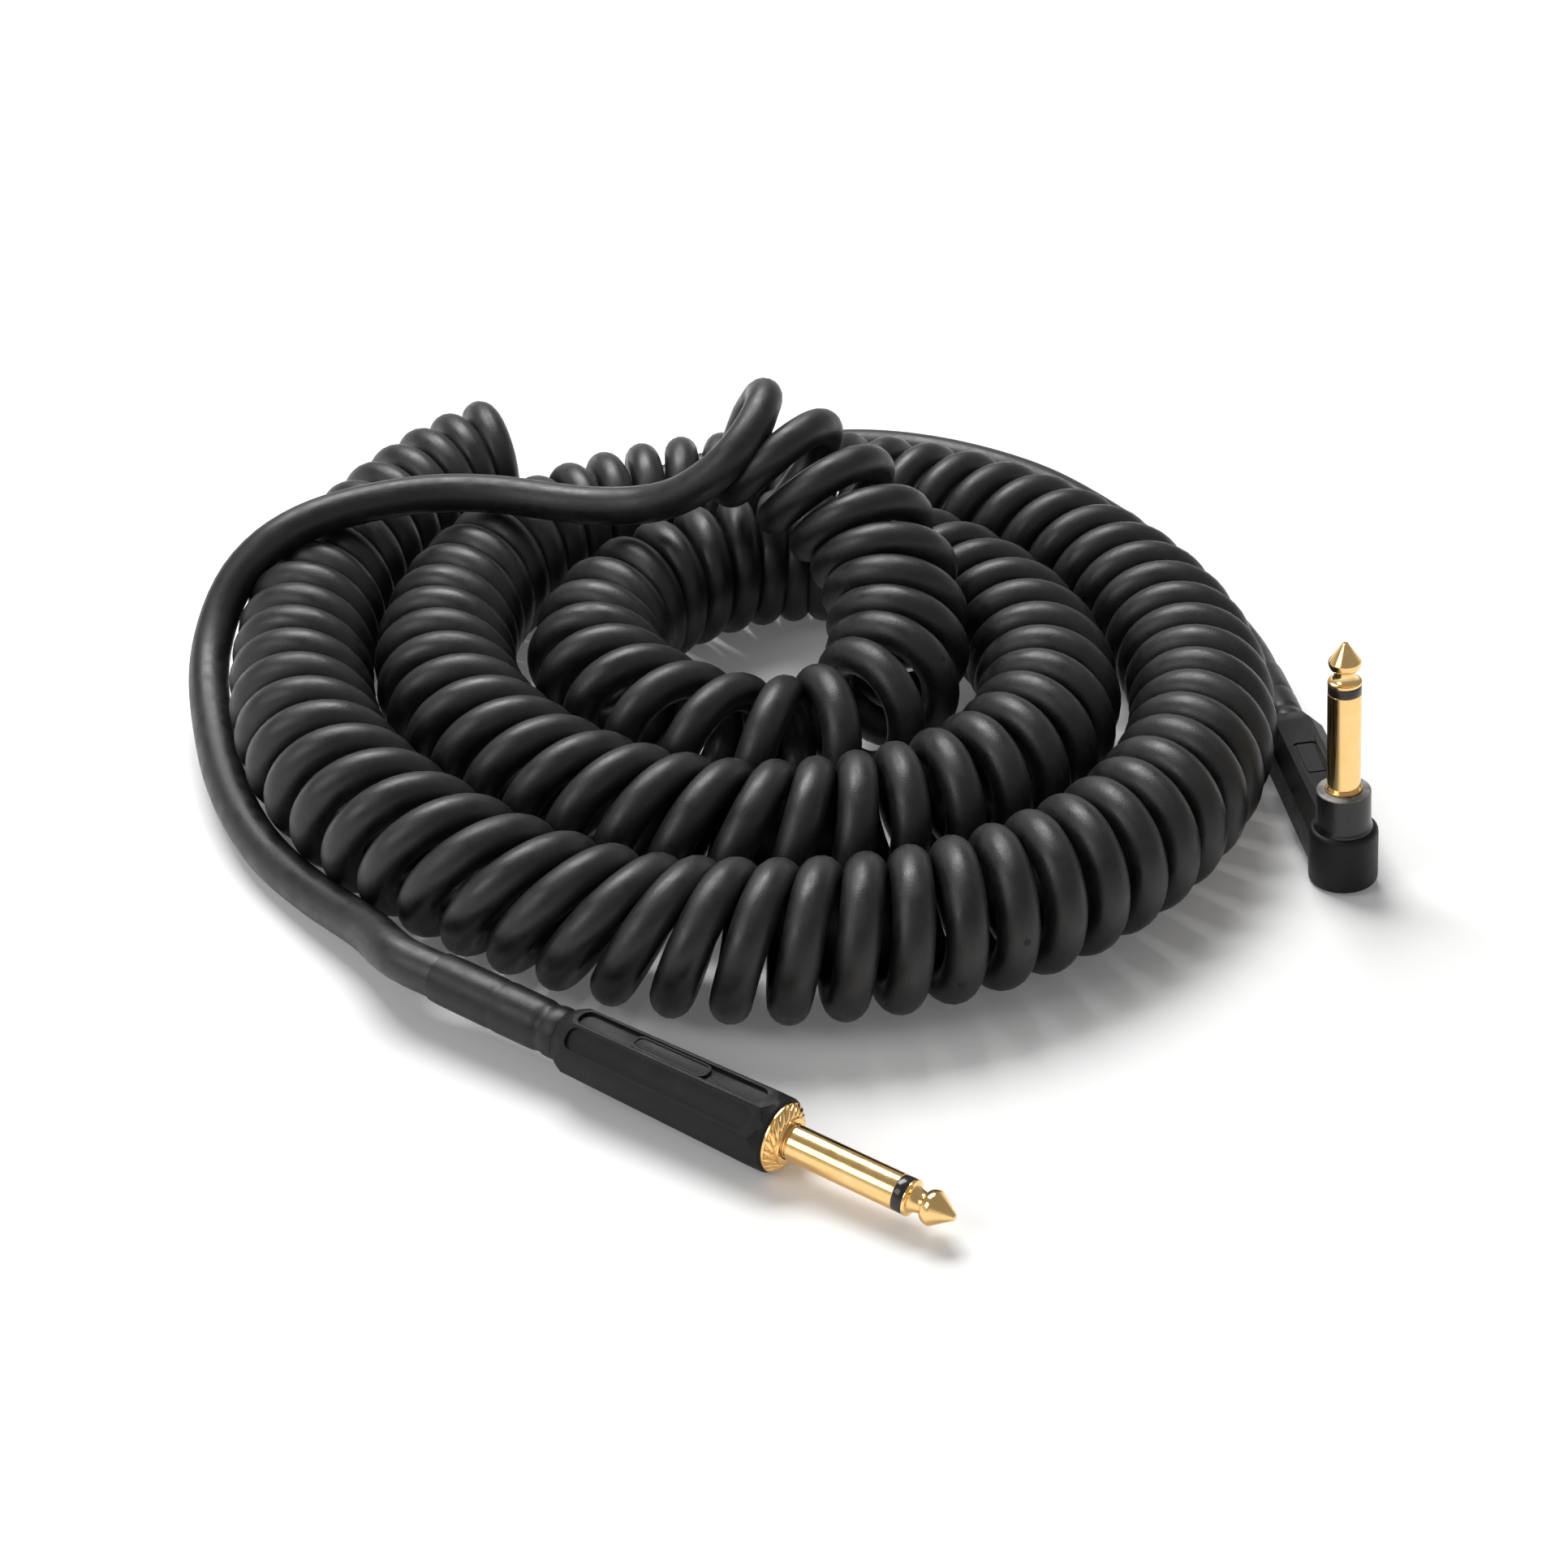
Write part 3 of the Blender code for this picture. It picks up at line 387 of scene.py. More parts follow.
def apply_modifier(obj, kind, **settings):
    """Add a modifier with these settings and apply it."""
    only(obj)
    modifier = obj.modifiers.new(kind.lower(), kind)
    for key, value in settings.items():
        setattr(modifier, key, value)
    bpy.ops.object.modifier_apply(modifier=modifier.name)


def soften(obj, width, angle):
    """Round the edges sharper than this angle, as a mould does."""
    apply_modifier(obj, "BEVEL", width=width, segments=3, limit_method="ANGLE",
                   angle_limit=math.radians(angle), harden_normals=False)
    only(obj)
    bpy.ops.object.shade_smooth_by_angle(angle=math.radians(angle))


def cut_away(obj, tool, operation="DIFFERENCE"):
    """Boolean with a tool, which is then deleted."""
    apply_modifier(obj, "BOOLEAN", operation=operation, object=tool, solver="EXACT")
    bpy.data.objects.remove(tool)


print("helpers ready")

# %% [markdown]
# ## Turned pieces
# The shafts, tips, sleeves and the riser are all turned shapes. A lathe piece
# starts as one circle, which is extruded along the axis and scaled, ring after
# ring, as its outline goes. A Spin of a half outline gives the same, but leaves
# doubled points on the axis and can turn the surface inside out.

# %% Lathe function
TURNED_EDGE = math.radians(32.0)    # sharper corners than this stay crisp


def lathe(name, outline, sides=96, ring=False):
    """Extrude and scale a circle through (radius, height) pairs.

    A ring closes on itself through its bore; else both ends are capped.
    """
    bpy.ops.object.select_all(action="DESELECT")
    radius, height = outline[0]
    bpy.ops.mesh.primitive_circle_add(vertices=sides, radius=radius, fill_type="NOTHING",
                                      location=(0.0, 0.0, height))
    obj = named(name)
    bpy.ops.object.mode_set(mode="EDIT")
    bpy.ops.mesh.select_mode(type="EDGE")
    bpy.ops.mesh.select_all(action="SELECT")
    steps = outline[1:] + ([outline[0]] if ring else [])
    for next_radius, next_height in steps:
        bpy.ops.mesh.extrude_region_move(
            TRANSFORM_OT_translate={"value": (0.0, 0.0, next_height - height)})
        grow = next_radius / radius
        bpy.ops.transform.resize(value=(grow, grow, 1.0),
                                 center_override=(0.0, 0.0, next_height))
        radius, height = next_radius, next_height
    bpy.ops.mesh.select_all(action="SELECT")
    bpy.ops.mesh.remove_doubles(threshold=MM / 1000)
    if not ring:
        bpy.ops.mesh.select_all(action="DESELECT")
        bpy.ops.mesh.select_non_manifold()
        bpy.ops.mesh.edge_face_add()
    bpy.ops.mesh.select_all(action="SELECT")
    bpy.ops.mesh.normals_make_consistent(inside=False)
    bpy.ops.object.mode_set(mode="OBJECT")
    bpy.ops.object.shade_smooth_by_angle(angle=TURNED_EDGE)
    return obj


def hollow_curve(start, end, count):
    """A quarter ellipse of points that leaves start sideways and ends along the axis."""
    points = []
    for i in range(1, count + 1):
        turn = math.pi / 2 * i / count
        points.append((start[0] + (end[0] - start[0]) * math.sin(turn),
                       start[1] + (end[1] - start[1]) * (1 - math.cos(turn))))
    return points


print("lathe ready")

# %% [markdown]
# ## The shaft of a phone plug
# Gold-plated brass: a sleeve, a dark insulating ring and a tip. The tip starts
# as a disc as wide as the shaft, sinks in a hollow curve to its waist, swells to
# a round bulb and ends in a cone with a blunt point. The jack's spring sits in
# the waist. Small bevels catch the light where real edges are rounded.

# %% Sleeve, insulating ring and tip
SHAFT_D = 6.35 * MM
SHAFT_BORE_R = SHAFT_D * 0.38
SHAFT_L = 31.5 * MM
TIP_L = 8.5 * MM
TIP_INSULATOR_L = 1.9 * MM
TIP_WAIST = (3.8 / 2 * MM, SHAFT_L - 5.75 * MM)
TIP_BULB = (6.15 / 2 * MM, SHAFT_L - 3.85 * MM)
TIP_POINT_D = 1.2 * MM
TIP_FOOT_R = 1.2 * MM
NECK_D = 5.7 * MM
NECK_L = 0.6 * MM
FLANGE_D = 6.95 * MM
FLANGE_L = 0.45 * MM
SLEEVE_BACK = 9.0 * MM
EASE = 0.08 * MM                    # rounding of the plated edges


def shaft_sleeve(name, flange):
    """The ground contact; the right-angle plug's has a flange at its foot."""
    r = SHAFT_D / 2
    ring_start = SHAFT_L - TIP_L - TIP_INSULATOR_L
    outline = [(SHAFT_BORE_R, -SLEEVE_BACK), (r, -SLEEVE_BACK)]
    foot = 0.0
    if flange:
        outline += [(r, 0.0), (FLANGE_D / 2 - EASE, 0.0), (FLANGE_D / 2, EASE),
                    (FLANGE_D / 2, FLANGE_L - EASE), (FLANGE_D / 2 - EASE, FLANGE_L)]
        foot = FLANGE_L
    outline += [(NECK_D / 2 + 2 * EASE, foot), (NECK_D / 2, foot + 2 * EASE),
                (NECK_D / 2, foot + NECK_L - 2 * EASE),
                (r - EASE, foot + NECK_L), (r, foot + NECK_L + EASE),
                (r, ring_start - EASE), (r - EASE, ring_start), (SHAFT_BORE_R, ring_start)]
    return lathe(name, outline, ring=True)


def tip_insulator(name):
    r = SHAFT_D / 2
    start, end = SHAFT_L - TIP_L - TIP_INSULATOR_L, SHAFT_L - TIP_L
    outline = [(SHAFT_BORE_R, start), (r - EASE, start), (r - 0.4 * EASE, start + EASE),
               (r - 0.4 * EASE, end - EASE), (r - EASE, end), (SHAFT_BORE_R, end)]
    return lathe(name, outline, ring=True)


def tip_contact(name):
    r = SHAFT_D / 2
    flange = SHAFT_L - TIP_L
    lip = (r - 0.12 * MM, flange + 0.62 * MM)
    waist = (TIP_WAIST[0], TIP_WAIST[1] - 0.2 * MM)
    outline = [(TIP_FOOT_R, flange), (r - EASE, flange), (r, flange + EASE),
               (r, flange + 0.45 * MM), (r - 0.03 * MM, flange + 0.55 * MM), lip]
    outline += hollow_curve(lip, waist, 14)
    outline += [TIP_WAIST, (TIP_WAIST[0] + 0.06 * MM, TIP_WAIST[1] + 0.09 * MM)]
    outline += hollow_curve(outline[-1], TIP_BULB, 16)
    outline += [(TIP_BULB[0] - 0.03 * MM, TIP_BULB[1] + 0.14 * MM),
                (TIP_BULB[0] - 0.14 * MM, TIP_BULB[1] + 0.29 * MM),
                (TIP_POINT_D / 2, SHAFT_L - 0.14 * MM),
                (TIP_POINT_D / 2 - 0.1 * MM, SHAFT_L - 0.03 * MM),
                (TIP_POINT_D / 2 - 0.22 * MM, SHAFT_L)]
    return lathe(name, outline)


straight_sleeve = shaft_sleeve("straight_shaft", False)
straight_ring = tip_insulator("straight_ring")
straight_tip = tip_contact("straight_tip")
angle_sleeve = shaft_sleeve("angle_shaft", True)
angle_ring = tip_insulator("angle_ring")
angle_tip = tip_contact("angle_tip")
print("tip points", len(straight_tip.data.vertices))

# %% [markdown]
# ## The knurled collar
# A gold ring closes the front of the straight grip. Its rounded face carries
# slanted ribs like a rope, between a thin bright rim and a smooth inner lip. One
# rib is a stretched ball, laid slanting on the face and copied round the axis.

# %% Collar with rope ribs
COLLAR_D = 12.3 * MM
COLLAR_LIP_D = 8.4 * MM
COLLAR_BOSS_L = 4.0 * MM
CHAMBER_D = 9.8 * MM
RIBS = 20
RIB_LENGTH = 3.5 * MM
RIB_WIDTH = 1.12 * MM
RIB_HEIGHT = 1.0 * MM
RIB_SLANT = math.radians(-50.0)
RIB_TILT = math.radians(52.0)       # slope of the face that the ribs lie on
RIB_INSET = 1.12 * MM               # middle of a rib, in from the rim
RIB_Z = -1.18 * MM                  # and behind the shaft's seat

rim = COLLAR_D / 2
lip = COLLAR_LIP_D / 2
shaft_hole = SHAFT_D / 2 + 0.05 * MM
boss = CHAMBER_D / 2 - FIT
collar = lathe("knurled_collar", [
    (shaft_hole, -COLLAR_L - COLLAR_BOSS_L), (boss, -COLLAR_L - COLLAR_BOSS_L),
    (boss, -COLLAR_L - FIT), (rim - 0.12 * MM, -COLLAR_L - FIT),
    (rim, -COLLAR_L - 0.1 * MM), (rim, -COLLAR_L + 0.42 * MM),
    (rim - 0.1 * MM, -COLLAR_L + 0.52 * MM), (rim - 0.38 * MM, -COLLAR_L + 0.5 * MM),
    (rim - 0.62 * MM, -COLLAR_L + 0.62 * MM), (rim - 1.3 * MM, -0.95 * MM),
    (lip + 0.42 * MM, -0.72 * MM), (lip + 0.3 * MM, -0.52 * MM), (lip + 0.1 * MM, -0.5 * MM),
    (lip, -0.42 * MM), (lip - 0.05 * MM, -0.08 * MM), (lip - 0.13 * MM, 0.0),
    (shaft_hole, 0.0)], ring=True)

bpy.ops.object.select_all(action="DESELECT")
bpy.ops.mesh.primitive_uv_sphere_add(segments=16, ring_count=10, radius=1.0)
rib = named("rope_rib")
rib.scale = (RIB_HEIGHT / 2, RIB_WIDTH / 2, RIB_LENGTH / 2)
rib.rotation_euler = (RIB_SLANT, 0.0, 0.0)
apply_place()
rib.rotation_euler = (0.0, -RIB_TILT, 0.0)
rib.location = (rim - RIB_INSET, 0.0, RIB_Z)
apply_place()
bpy.ops.object.shade_smooth()
for i in range(RIBS):
    copy = rib.copy()
    copy.data = rib.data.copy()
    bpy.context.scene.collection.objects.link(copy)
    copy.rotation_euler = (0.0, 0.0, 2 * math.pi * i / RIBS)
    copy.select_set(True)
apply_place()
rib.select_set(False)
collar.select_set(True)
bpy.context.view_layer.objects.active = collar
bpy.ops.object.join()
bpy.data.objects.remove(rib)
print("collar faces", len(collar.data.polygons))

# %% [markdown]
# ## The straight grip
# A moulded eight-sided grip that tapers to the back. The eight-sided bar is
# crossed with a turned body, as if it had been put on a lathe, which rounds its
# front rim and its rear shoulder.

# %% Grip body
HANDLE_FRONT = 13.3 * MM
HANDLE_BACK = 11.8 * MM
GRIP_SIDES = 8
TURNING_SPARE = 0.05 * MM           # by which the turned body clears the bar's corners
SHRINK_D = 9.4 * MM
front = -COLLAR_L - SEAT_GAP
back = front - HANDLE_L

bpy.ops.object.select_all(action="DESELECT")
octagon = 1 / math.cos(math.pi / GRIP_SIDES)
bpy.ops.mesh.primitive_cone_add(vertices=GRIP_SIDES, radius1=HANDLE_BACK / 2 * octagon,
                                radius2=HANDLE_FRONT / 2 * octagon, depth=HANDLE_L,
                                location=(0.0, 0.0, (front + back) / 2),
                                rotation=(0.0, 0.0, math.pi / GRIP_SIDES))
grip = named("straight_grip")

corner_front = HANDLE_FRONT / 2 * octagon + TURNING_SPARE
corner_back = HANDLE_BACK / 2 * octagon + TURNING_SPARE
neck, side_front = SHRINK_D / 2, HANDLE_FRONT / 2
turned_body = lathe("grip_turning", [
    (neck - 0.5 * MM, back - 0.01 * MM), (neck - 0.1 * MM, back + 0.05 * MM),
    (neck + 0.1 * MM, back + 0.5 * MM), (neck + 0.55 * MM, back + 1.1 * MM),
    (neck + 0.95 * MM, back + 1.8 * MM), (corner_back - 0.15 * MM, back + 3.2 * MM),
    (corner_back + 0.1 * MM, back + 4.4 * MM),
    (corner_front + 0.1 * MM, front - 3.4 * MM), (corner_front - 0.12 * MM, front - 2.4 * MM),
    (side_front + 0.02 * MM, front - 1.5 * MM), (side_front - 0.02 * MM, front - 0.5 * MM),
    (side_front - 0.12 * MM, front - 0.2 * MM), (side_front - 0.4 * MM, front + 0.01 * MM)])
cut_away(grip, turned_body, "INTERSECT")
print("grip faces", len(grip.data.polygons))

# %% [markdown]
# ## Panels, pad and bore of the grip
# Rounded-end panels are sunk into six sides of the grip; the two sides on the
# mould's parting line stay plain. The cutter is a block whose short sides are
# beveled into round ends. Cutting after the taper keeps each panel's floor
# parallel to its side. The same shape, made smaller, gives the raised pad in
# the top panel, which is bare, and the hollow in the pad.

# %% Panels and pad
PANEL_DEPTH = 0.7 * MM
PANEL_END = 3.4 * MM                # plain stretch past each end of a panel
PANEL_RIB = 0.62 * MM               # half of the rib between two panels
PANEL_SIDES = (0, 1, 3, 4, 5, 7)
CUTTER_THICK = 2.0 * MM
PAD_L = 15.5 * MM
PAD_THICK = 1.4 * MM
PAD_DROP = 0.12 * MM                # top of the pad under the grip's side
PAD_RIM = 0.45 * MM                 # width of the edge round the pad's hollow
PAD_HOLLOW_THICK = 1.0 * MM
PAD_HOLLOW_DEPTH = 0.2 * MM
GRIP_EDGE = 0.22 * MM
CORD_HOLE_R = CORD_END_D / 2 + 0.1 * MM
taper = math.atan((HANDLE_FRONT - HANDLE_BACK) / 2 / HANDLE_L)
panel_l = HANDLE_L - 2 * PANEL_END
middle = (front + back) / 2
flat_middle = (HANDLE_FRONT + HANDLE_BACK) / 4
panel_w = 2 * (flat_middle * math.tan(math.pi / GRIP_SIDES) - PANEL_RIB)


def rounded_block(name, width, length, thick, corner, segments=8):
    """A block along Z whose four corners in the YZ plane are rounded."""
    bpy.ops.object.select_all(action="DESELECT")
    bpy.ops.mesh.primitive_cube_add(size=1.0, scale=(thick, width, length))
    obj = named(name)
    bpy.ops.object.mode_set(mode="EDIT")
    pick("EDGE", lambda edge: abs(edge.verts[0].co.x - edge.verts[1].co.x) > thick / 2)
    bpy.ops.mesh.bevel(offset=corner, offset_type="OFFSET", segments=segments, affect="EDGES")
    bpy.ops.object.mode_set(mode="OBJECT")
    return obj


def on_side(obj, side, height):
    """Lay a block on one side of the grip, with its middle at this height from the axis."""
    settle(obj, Matrix.Rotation(side * 2 * math.pi / GRIP_SIDES, 4, "Z")
           @ Matrix.Translation((height, 0.0, middle)) @ Matrix.Rotation(taper, 4, "Y"))


for side in PANEL_SIDES:
    cutter = rounded_block("panel_cutter", panel_w, panel_l, CUTTER_THICK, panel_w * 0.42)
    on_side(cutter, side, flat_middle + CUTTER_THICK / 2 - PANEL_DEPTH)
    cut_away(grip, cutter)
pad_w = panel_w * 0.9
pad = rounded_block("pad", pad_w, PAD_L, PAD_THICK, panel_w * 0.36)
on_side(pad, 0, flat_middle - PAD_THICK / 2 - PAD_DROP)
cut_away(grip, pad, "UNION")
hollow = rounded_block("pad_hollow", pad_w - 2 * PAD_RIM, PAD_L - 2 * PAD_RIM,
                       PAD_HOLLOW_THICK, panel_w * 0.25)
on_side(hollow, 0, flat_middle + PAD_HOLLOW_THICK / 2 - PAD_DROP - PAD_HOLLOW_DEPTH)
cut_away(grip, hollow)
for radius, top, low in ((CHAMBER_D / 2, front + MM, front - CHAMBER_L),
                         (CORD_HOLE_R, front - CHAMBER_L + MM, back - MM)):
    cut_away(grip, lathe("bore_tool", [(radius, low), (radius, top)], sides=48))
soften(grip, GRIP_EDGE, 25.0)
print("grip faces", len(grip.data.polygons))

# %% [markdown]
# ## Heat-shrink sleeves
# A black sleeve is shrunk over the cord behind each grip. It hugs what lies
# under it: a groove where the grip's spigot ends, a soft crease half-way where
# the cord's own jacket is trimmed, and a thin cut end. All this goes round the
# cord, so one turned outline shapes it.

# %% Sleeves
def shrink_sleeve(name, length, front_z):
    r = SHRINK_D / 2
    inner = LEAD_D / 2 + 0.03 * MM
    tail = front_z - length
    half = (front_z + tail) / 2
    outline = [(inner, tail), (r - 0.26 * MM, tail), (r - 0.18 * MM, tail + 0.1 * MM),
               (r - 0.1 * MM, tail + 0.9 * MM), (r - 0.04 * MM, tail + 3.0 * MM),
               (r - 0.01 * MM, half - 3.5 * MM), (r - 0.01 * MM, half - 1.4 * MM),
               (r - 0.06 * MM, half - 0.8 * MM), (r - 0.13 * MM, half - 0.2 * MM),
               (r - 0.04 * MM, half + 0.5 * MM), (r + 0.04 * MM, half + 1.1 * MM),
               (r + 0.03 * MM, half + 2.6 * MM), (r, front_z - 5.6 * MM),
               (r - 0.04 * MM, front_z - 4.9 * MM), (r - 0.2 * MM, front_z - 4.2 * MM),
               (r - 0.3 * MM, front_z - 3.7 * MM), (r - 0.3 * MM, front_z - 3.3 * MM),
               (r - 0.2 * MM, front_z - 2.8 * MM), (r - 0.02 * MM, front_z - 2.1 * MM),
               (r + 0.04 * MM, front_z - 1.4 * MM), (r, front_z - 0.5 * MM),
               (r - 0.12 * MM, front_z), (CORD_HOLE_R, front_z),
               (CORD_HOLE_R, tail + 4.5 * MM), (inner, tail + 3.0 * MM)]
    return lathe(name, outline, sides=64, ring=True)


straight_shrink = shrink_sleeve("straight_sleeve_tube", SHRINK_STRAIGHT_L, back - SEAT_GAP)
angle_shrink = shrink_sleeve("angle_sleeve_tube", SHRINK_ANGLE_L, -SEAT_GAP)
print("sleeve faces", len(straight_shrink.data.polygons))

# %% [markdown]
# ## The right-angle plug's housing
# A round moulded housing stands on the floor and grows into a long arm with
# chamfered edges. The housing is turned; the arm starts as a block whose long
# edges are beveled and whose end is extruded to a blunt slope. The two are
# united, so that the joint can be softened like the other edges.

# %% Housing with its arm
HOUSING_H = 11.8 * MM
ARM_W = 12.2 * MM
ARM_H = 11.6 * MM
ARM_CHAMFER = 2.4 * MM
ARM_SLOPE_L = 5.0 * MM
ARM_BACK_D = 9.8 * MM
ARM_EASE_L = 0.6 * MM               # last step of the slope, which rounds the arm's end
ARM_EASE = 0.93                     # share of its width that is left there

r = HOUSING_D / 2
housing = lathe("angle_grip", [
    (r - 0.9 * MM, 0.0), (r - 0.55 * MM, 0.05 * MM), (r - 0.2 * MM, 0.25 * MM),
    (r - 0.04 * MM, 0.6 * MM), (r, 1.1 * MM), (r, HOUSING_H - 1.5 * MM),
    (r - 0.04 * MM, HOUSING_H - 0.95 * MM), (r - 0.2 * MM, HOUSING_H - 0.5 * MM),
    (r - 0.48 * MM, HOUSING_H - 0.18 * MM), (r - 0.85 * MM, HOUSING_H - 0.03 * MM),
    (r - 1.0 * MM, HOUSING_H)])

bpy.ops.object.select_all(action="DESELECT")
bpy.ops.mesh.primitive_cube_add(size=1.0, scale=(ARM_W, ARM_L - ARM_SLOPE_L, ARM_H),
                                location=(0.0, (ARM_L - ARM_SLOPE_L) / 2, CORD_AXIS_Z))
arm = named("arm")
bpy.ops.object.mode_set(mode="EDIT")
pick("EDGE", lambda edge: abs(edge.verts[0].co.y - edge.verts[1].co.y) > ARM_L / 2)
bpy.ops.mesh.bevel(offset=ARM_CHAMFER, offset_type="OFFSET", segments=1, affect="EDGES")
pick("FACE", lambda face: face.normal.y > 0.9)
for step, end, wide, tall in (
        (ARM_SLOPE_L - ARM_EASE_L, ARM_L - ARM_EASE_L, ARM_BACK_D / ARM_W, ARM_BACK_D / ARM_H),
        (ARM_EASE_L, ARM_L, ARM_EASE, ARM_EASE)):
    bpy.ops.mesh.extrude_region_move(TRANSFORM_OT_translate={"value": (0.0, step, 0.0)})
    bpy.ops.transform.resize(value=(wide, 1.0, tall), center_override=(0.0, end, CORD_AXIS_Z))
bpy.ops.object.mode_set(mode="OBJECT")
cut_away(housing, arm, "UNION")
print("housing faces", len(housing.data.polygons))

# %% [markdown]
# ## Recess, well and bore of the housing
# The well holds the terminals and the riser, and the bore brings the cord in.
# The shallow recess on the arm is where a maker would put a mark; here it holds
# a bare plate.

# %% Cuts in the housing
WELL_FLOOR = 2.4 * MM
RISER_FOOT = RISER_TOP - SLEEVE_BACK - 1.0 * MM
RISER_FOOT_D = 11.3 * MM
RISER_HOLE_R = RISER_FOOT_D / 2 + 0.04 * MM
RECESS_L = 12.0 * MM
RECESS_W = 4.8 * MM
RECESS_DEPTH = 0.35 * MM
RECESS_Y = 25.5 * MM
PLATE_GAP = 0.55 * MM               # groove round the plate in the recess
PLATE_THICK = 1.0 * MM
PLATE_DROP = 0.08 * MM              # top of the plate under the arm's top side
HOUSING_EDGE = 0.3 * MM


def on_arm(obj, height):
    """Lay a block on the arm, with its middle at this height above the top side."""
    settle(obj, Matrix.Translation((0.0, RECESS_Y, CORD_AXIS_Z + ARM_H / 2 + height))
           @ Matrix.Rotation(math.pi / 2, 4, "X") @ Matrix.Rotation(math.pi / 2, 4, "Z"))


well = lathe("well_tool", [
    (CHAMBER_D / 2, WELL_FLOOR), (CHAMBER_D / 2, RISER_FOOT - FIT),
    (RISER_HOLE_R, RISER_FOOT - FIT), (RISER_HOLE_R, HOUSING_H + MM)])
cut_away(housing, well)
cord_bore = lathe("bore_tool", [(CORD_HOLE_R, 0.0), (CORD_HOLE_R, ARM_L + MM)], sides=48)
settle(cord_bore, Matrix.Translation((0.0, 0.0, CORD_AXIS_Z))
       @ Matrix.Rotation(-math.pi / 2, 4, "X"))
cut_away(housing, cord_bore)
recess = rounded_block("recess_tool", RECESS_W, RECESS_L, CUTTER_THICK, 1.0 * MM, 5)
on_arm(recess, CUTTER_THICK / 2 - RECESS_DEPTH)
cut_away(housing, recess)
plate = rounded_block("plate_tool", RECESS_W - 2 * PLATE_GAP, RECESS_L - 2 * PLATE_GAP,
                      PLATE_THICK, 0.6 * MM, 5)
on_arm(plate, -PLATE_THICK / 2 - PLATE_DROP)
cut_away(housing, plate, "UNION")
soften(housing, HOUSING_EDGE, 28.0)
print("housing faces", len(housing.data.polygons))

# %% [markdown]
# ## The riser
# A shiny black collar stands in the housing and carries the shaft. It is turned
# like the shaft, with a narrow step where it leaves the housing, a slow taper,
# and a rounded rim with a seat for the shaft's flange.

# %% Riser
RISER_TOP_D = 10.4 * MM
FLANGE_SEAT = 0.3 * MM              # depth of the seat in the riser's top
foot_r, top_r = RISER_FOOT_D / 2, RISER_TOP_D / 2
flange_hole = FLANGE_D / 2 + 0.06 * MM
riser = lathe("angle_riser_tube", [
    (shaft_hole, RISER_FOOT), (foot_r, RISER_FOOT),
    (foot_r, HOUSING_H + 0.15 * MM), (foot_r - 0.12 * MM, HOUSING_H + 0.4 * MM),
    (foot_r - 0.3 * MM, HOUSING_H + 0.7 * MM), (top_r + 0.06 * MM, HOUSING_H + 1.8 * MM),
    (top_r, RISER_TOP - 0.5 * MM), (top_r - 0.04 * MM, RISER_TOP - 0.28 * MM),
    (top_r - 0.14 * MM, RISER_TOP - 0.1 * MM), (top_r - 0.3 * MM, RISER_TOP - 0.01 * MM),
    (top_r - 0.42 * MM, RISER_TOP), (flange_hole, RISER_TOP),
    (flange_hole, RISER_TOP - FLANGE_SEAT), (shaft_hole, RISER_TOP - FLANGE_SEAT)], ring=True)
print("riser faces", len(riser.data.polygons))

# %% [markdown]
# ## Place the pieces
# Each finished piece is moved into its plug's frame and the move is applied, so
# its object sits at the origin with its place in its mesh, as the solids do.

# %% Move the pieces into their frames
straight_pieces = [straight_sleeve, straight_ring, straight_tip, collar, grip, straight_shrink]
for piece in straight_pieces:
    settle(piece, straight_frame)
for piece in (angle_sleeve, angle_ring, angle_tip):
    settle(piece, angle_seat_frame)
for piece in (housing, riser):
    settle(piece, angle_frame)
settle(angle_shrink, outlet_frame)

# %% [markdown]
# ## Shader nodes in few words
# A material is a net of nodes, and most lines that build one say the same
# things: add a node, set its values, link its inputs. A few helpers take this
# up, so that each finish below reads as a list of what feeds what.

# %% Helpers for nodes
def feed(tree, node, inputs):
    """Set a node's inputs: a socket is linked, anything else is the input's own value."""
    for label, value in inputs.items():
        if isinstance(value, bpy.types.NodeSocket):
            tree.links.new(value, node.inputs[label])
        else:
            node.inputs[label].default_value = value


def add_node(tree, kind, inputs, **settings):
    """Add a shader node with these settings and inputs."""
    node = tree.nodes.new("ShaderNode" + kind)
    for key, value in settings.items():
        setattr(node, key, value)
    feed(tree, node, inputs)
    return node


def calculate(tree, operation, *values):
    """The result of a Math node."""
    return add_node(tree, "Math", dict(enumerate(values)), operation=operation).outputs["Value"]


def ramp(tree, source, low, high, start, end):
    """Map a value from low..high to start..end."""
    return add_node(tree, "MapRange", {
        "Value": source, "From Min": low, "From Max": high,
        "To Min": start, "To Max": end}).outputs["Result"]


def tint(tree, source, low, high, dark, light):
    """Map a value from low..high to the colours dark..light."""
    return add_node(tree, "Mix", {
        "Factor": ramp(tree, source, low, high, 0.0, 1.0),
        "A": (*dark, 1.0), "B": (*light, 1.0)}, data_type="RGBA").outputs["Result"]


print("node helpers ready")

# %% [markdown]
# ## A soft mottling with a fine grain
# No moulded or plated surface is quite even. Two noises of unlike size, a broad
# one for tone and gloss and a fine one for the bump, give this on every piece.
# Because more than one finish uses them, they are a node group with its own
# inputs, built once and placed in each material with its own values.

# %% Mottled grain group
FLOAT, VECTOR = "NodeSocketFloat", "NodeSocketVector"


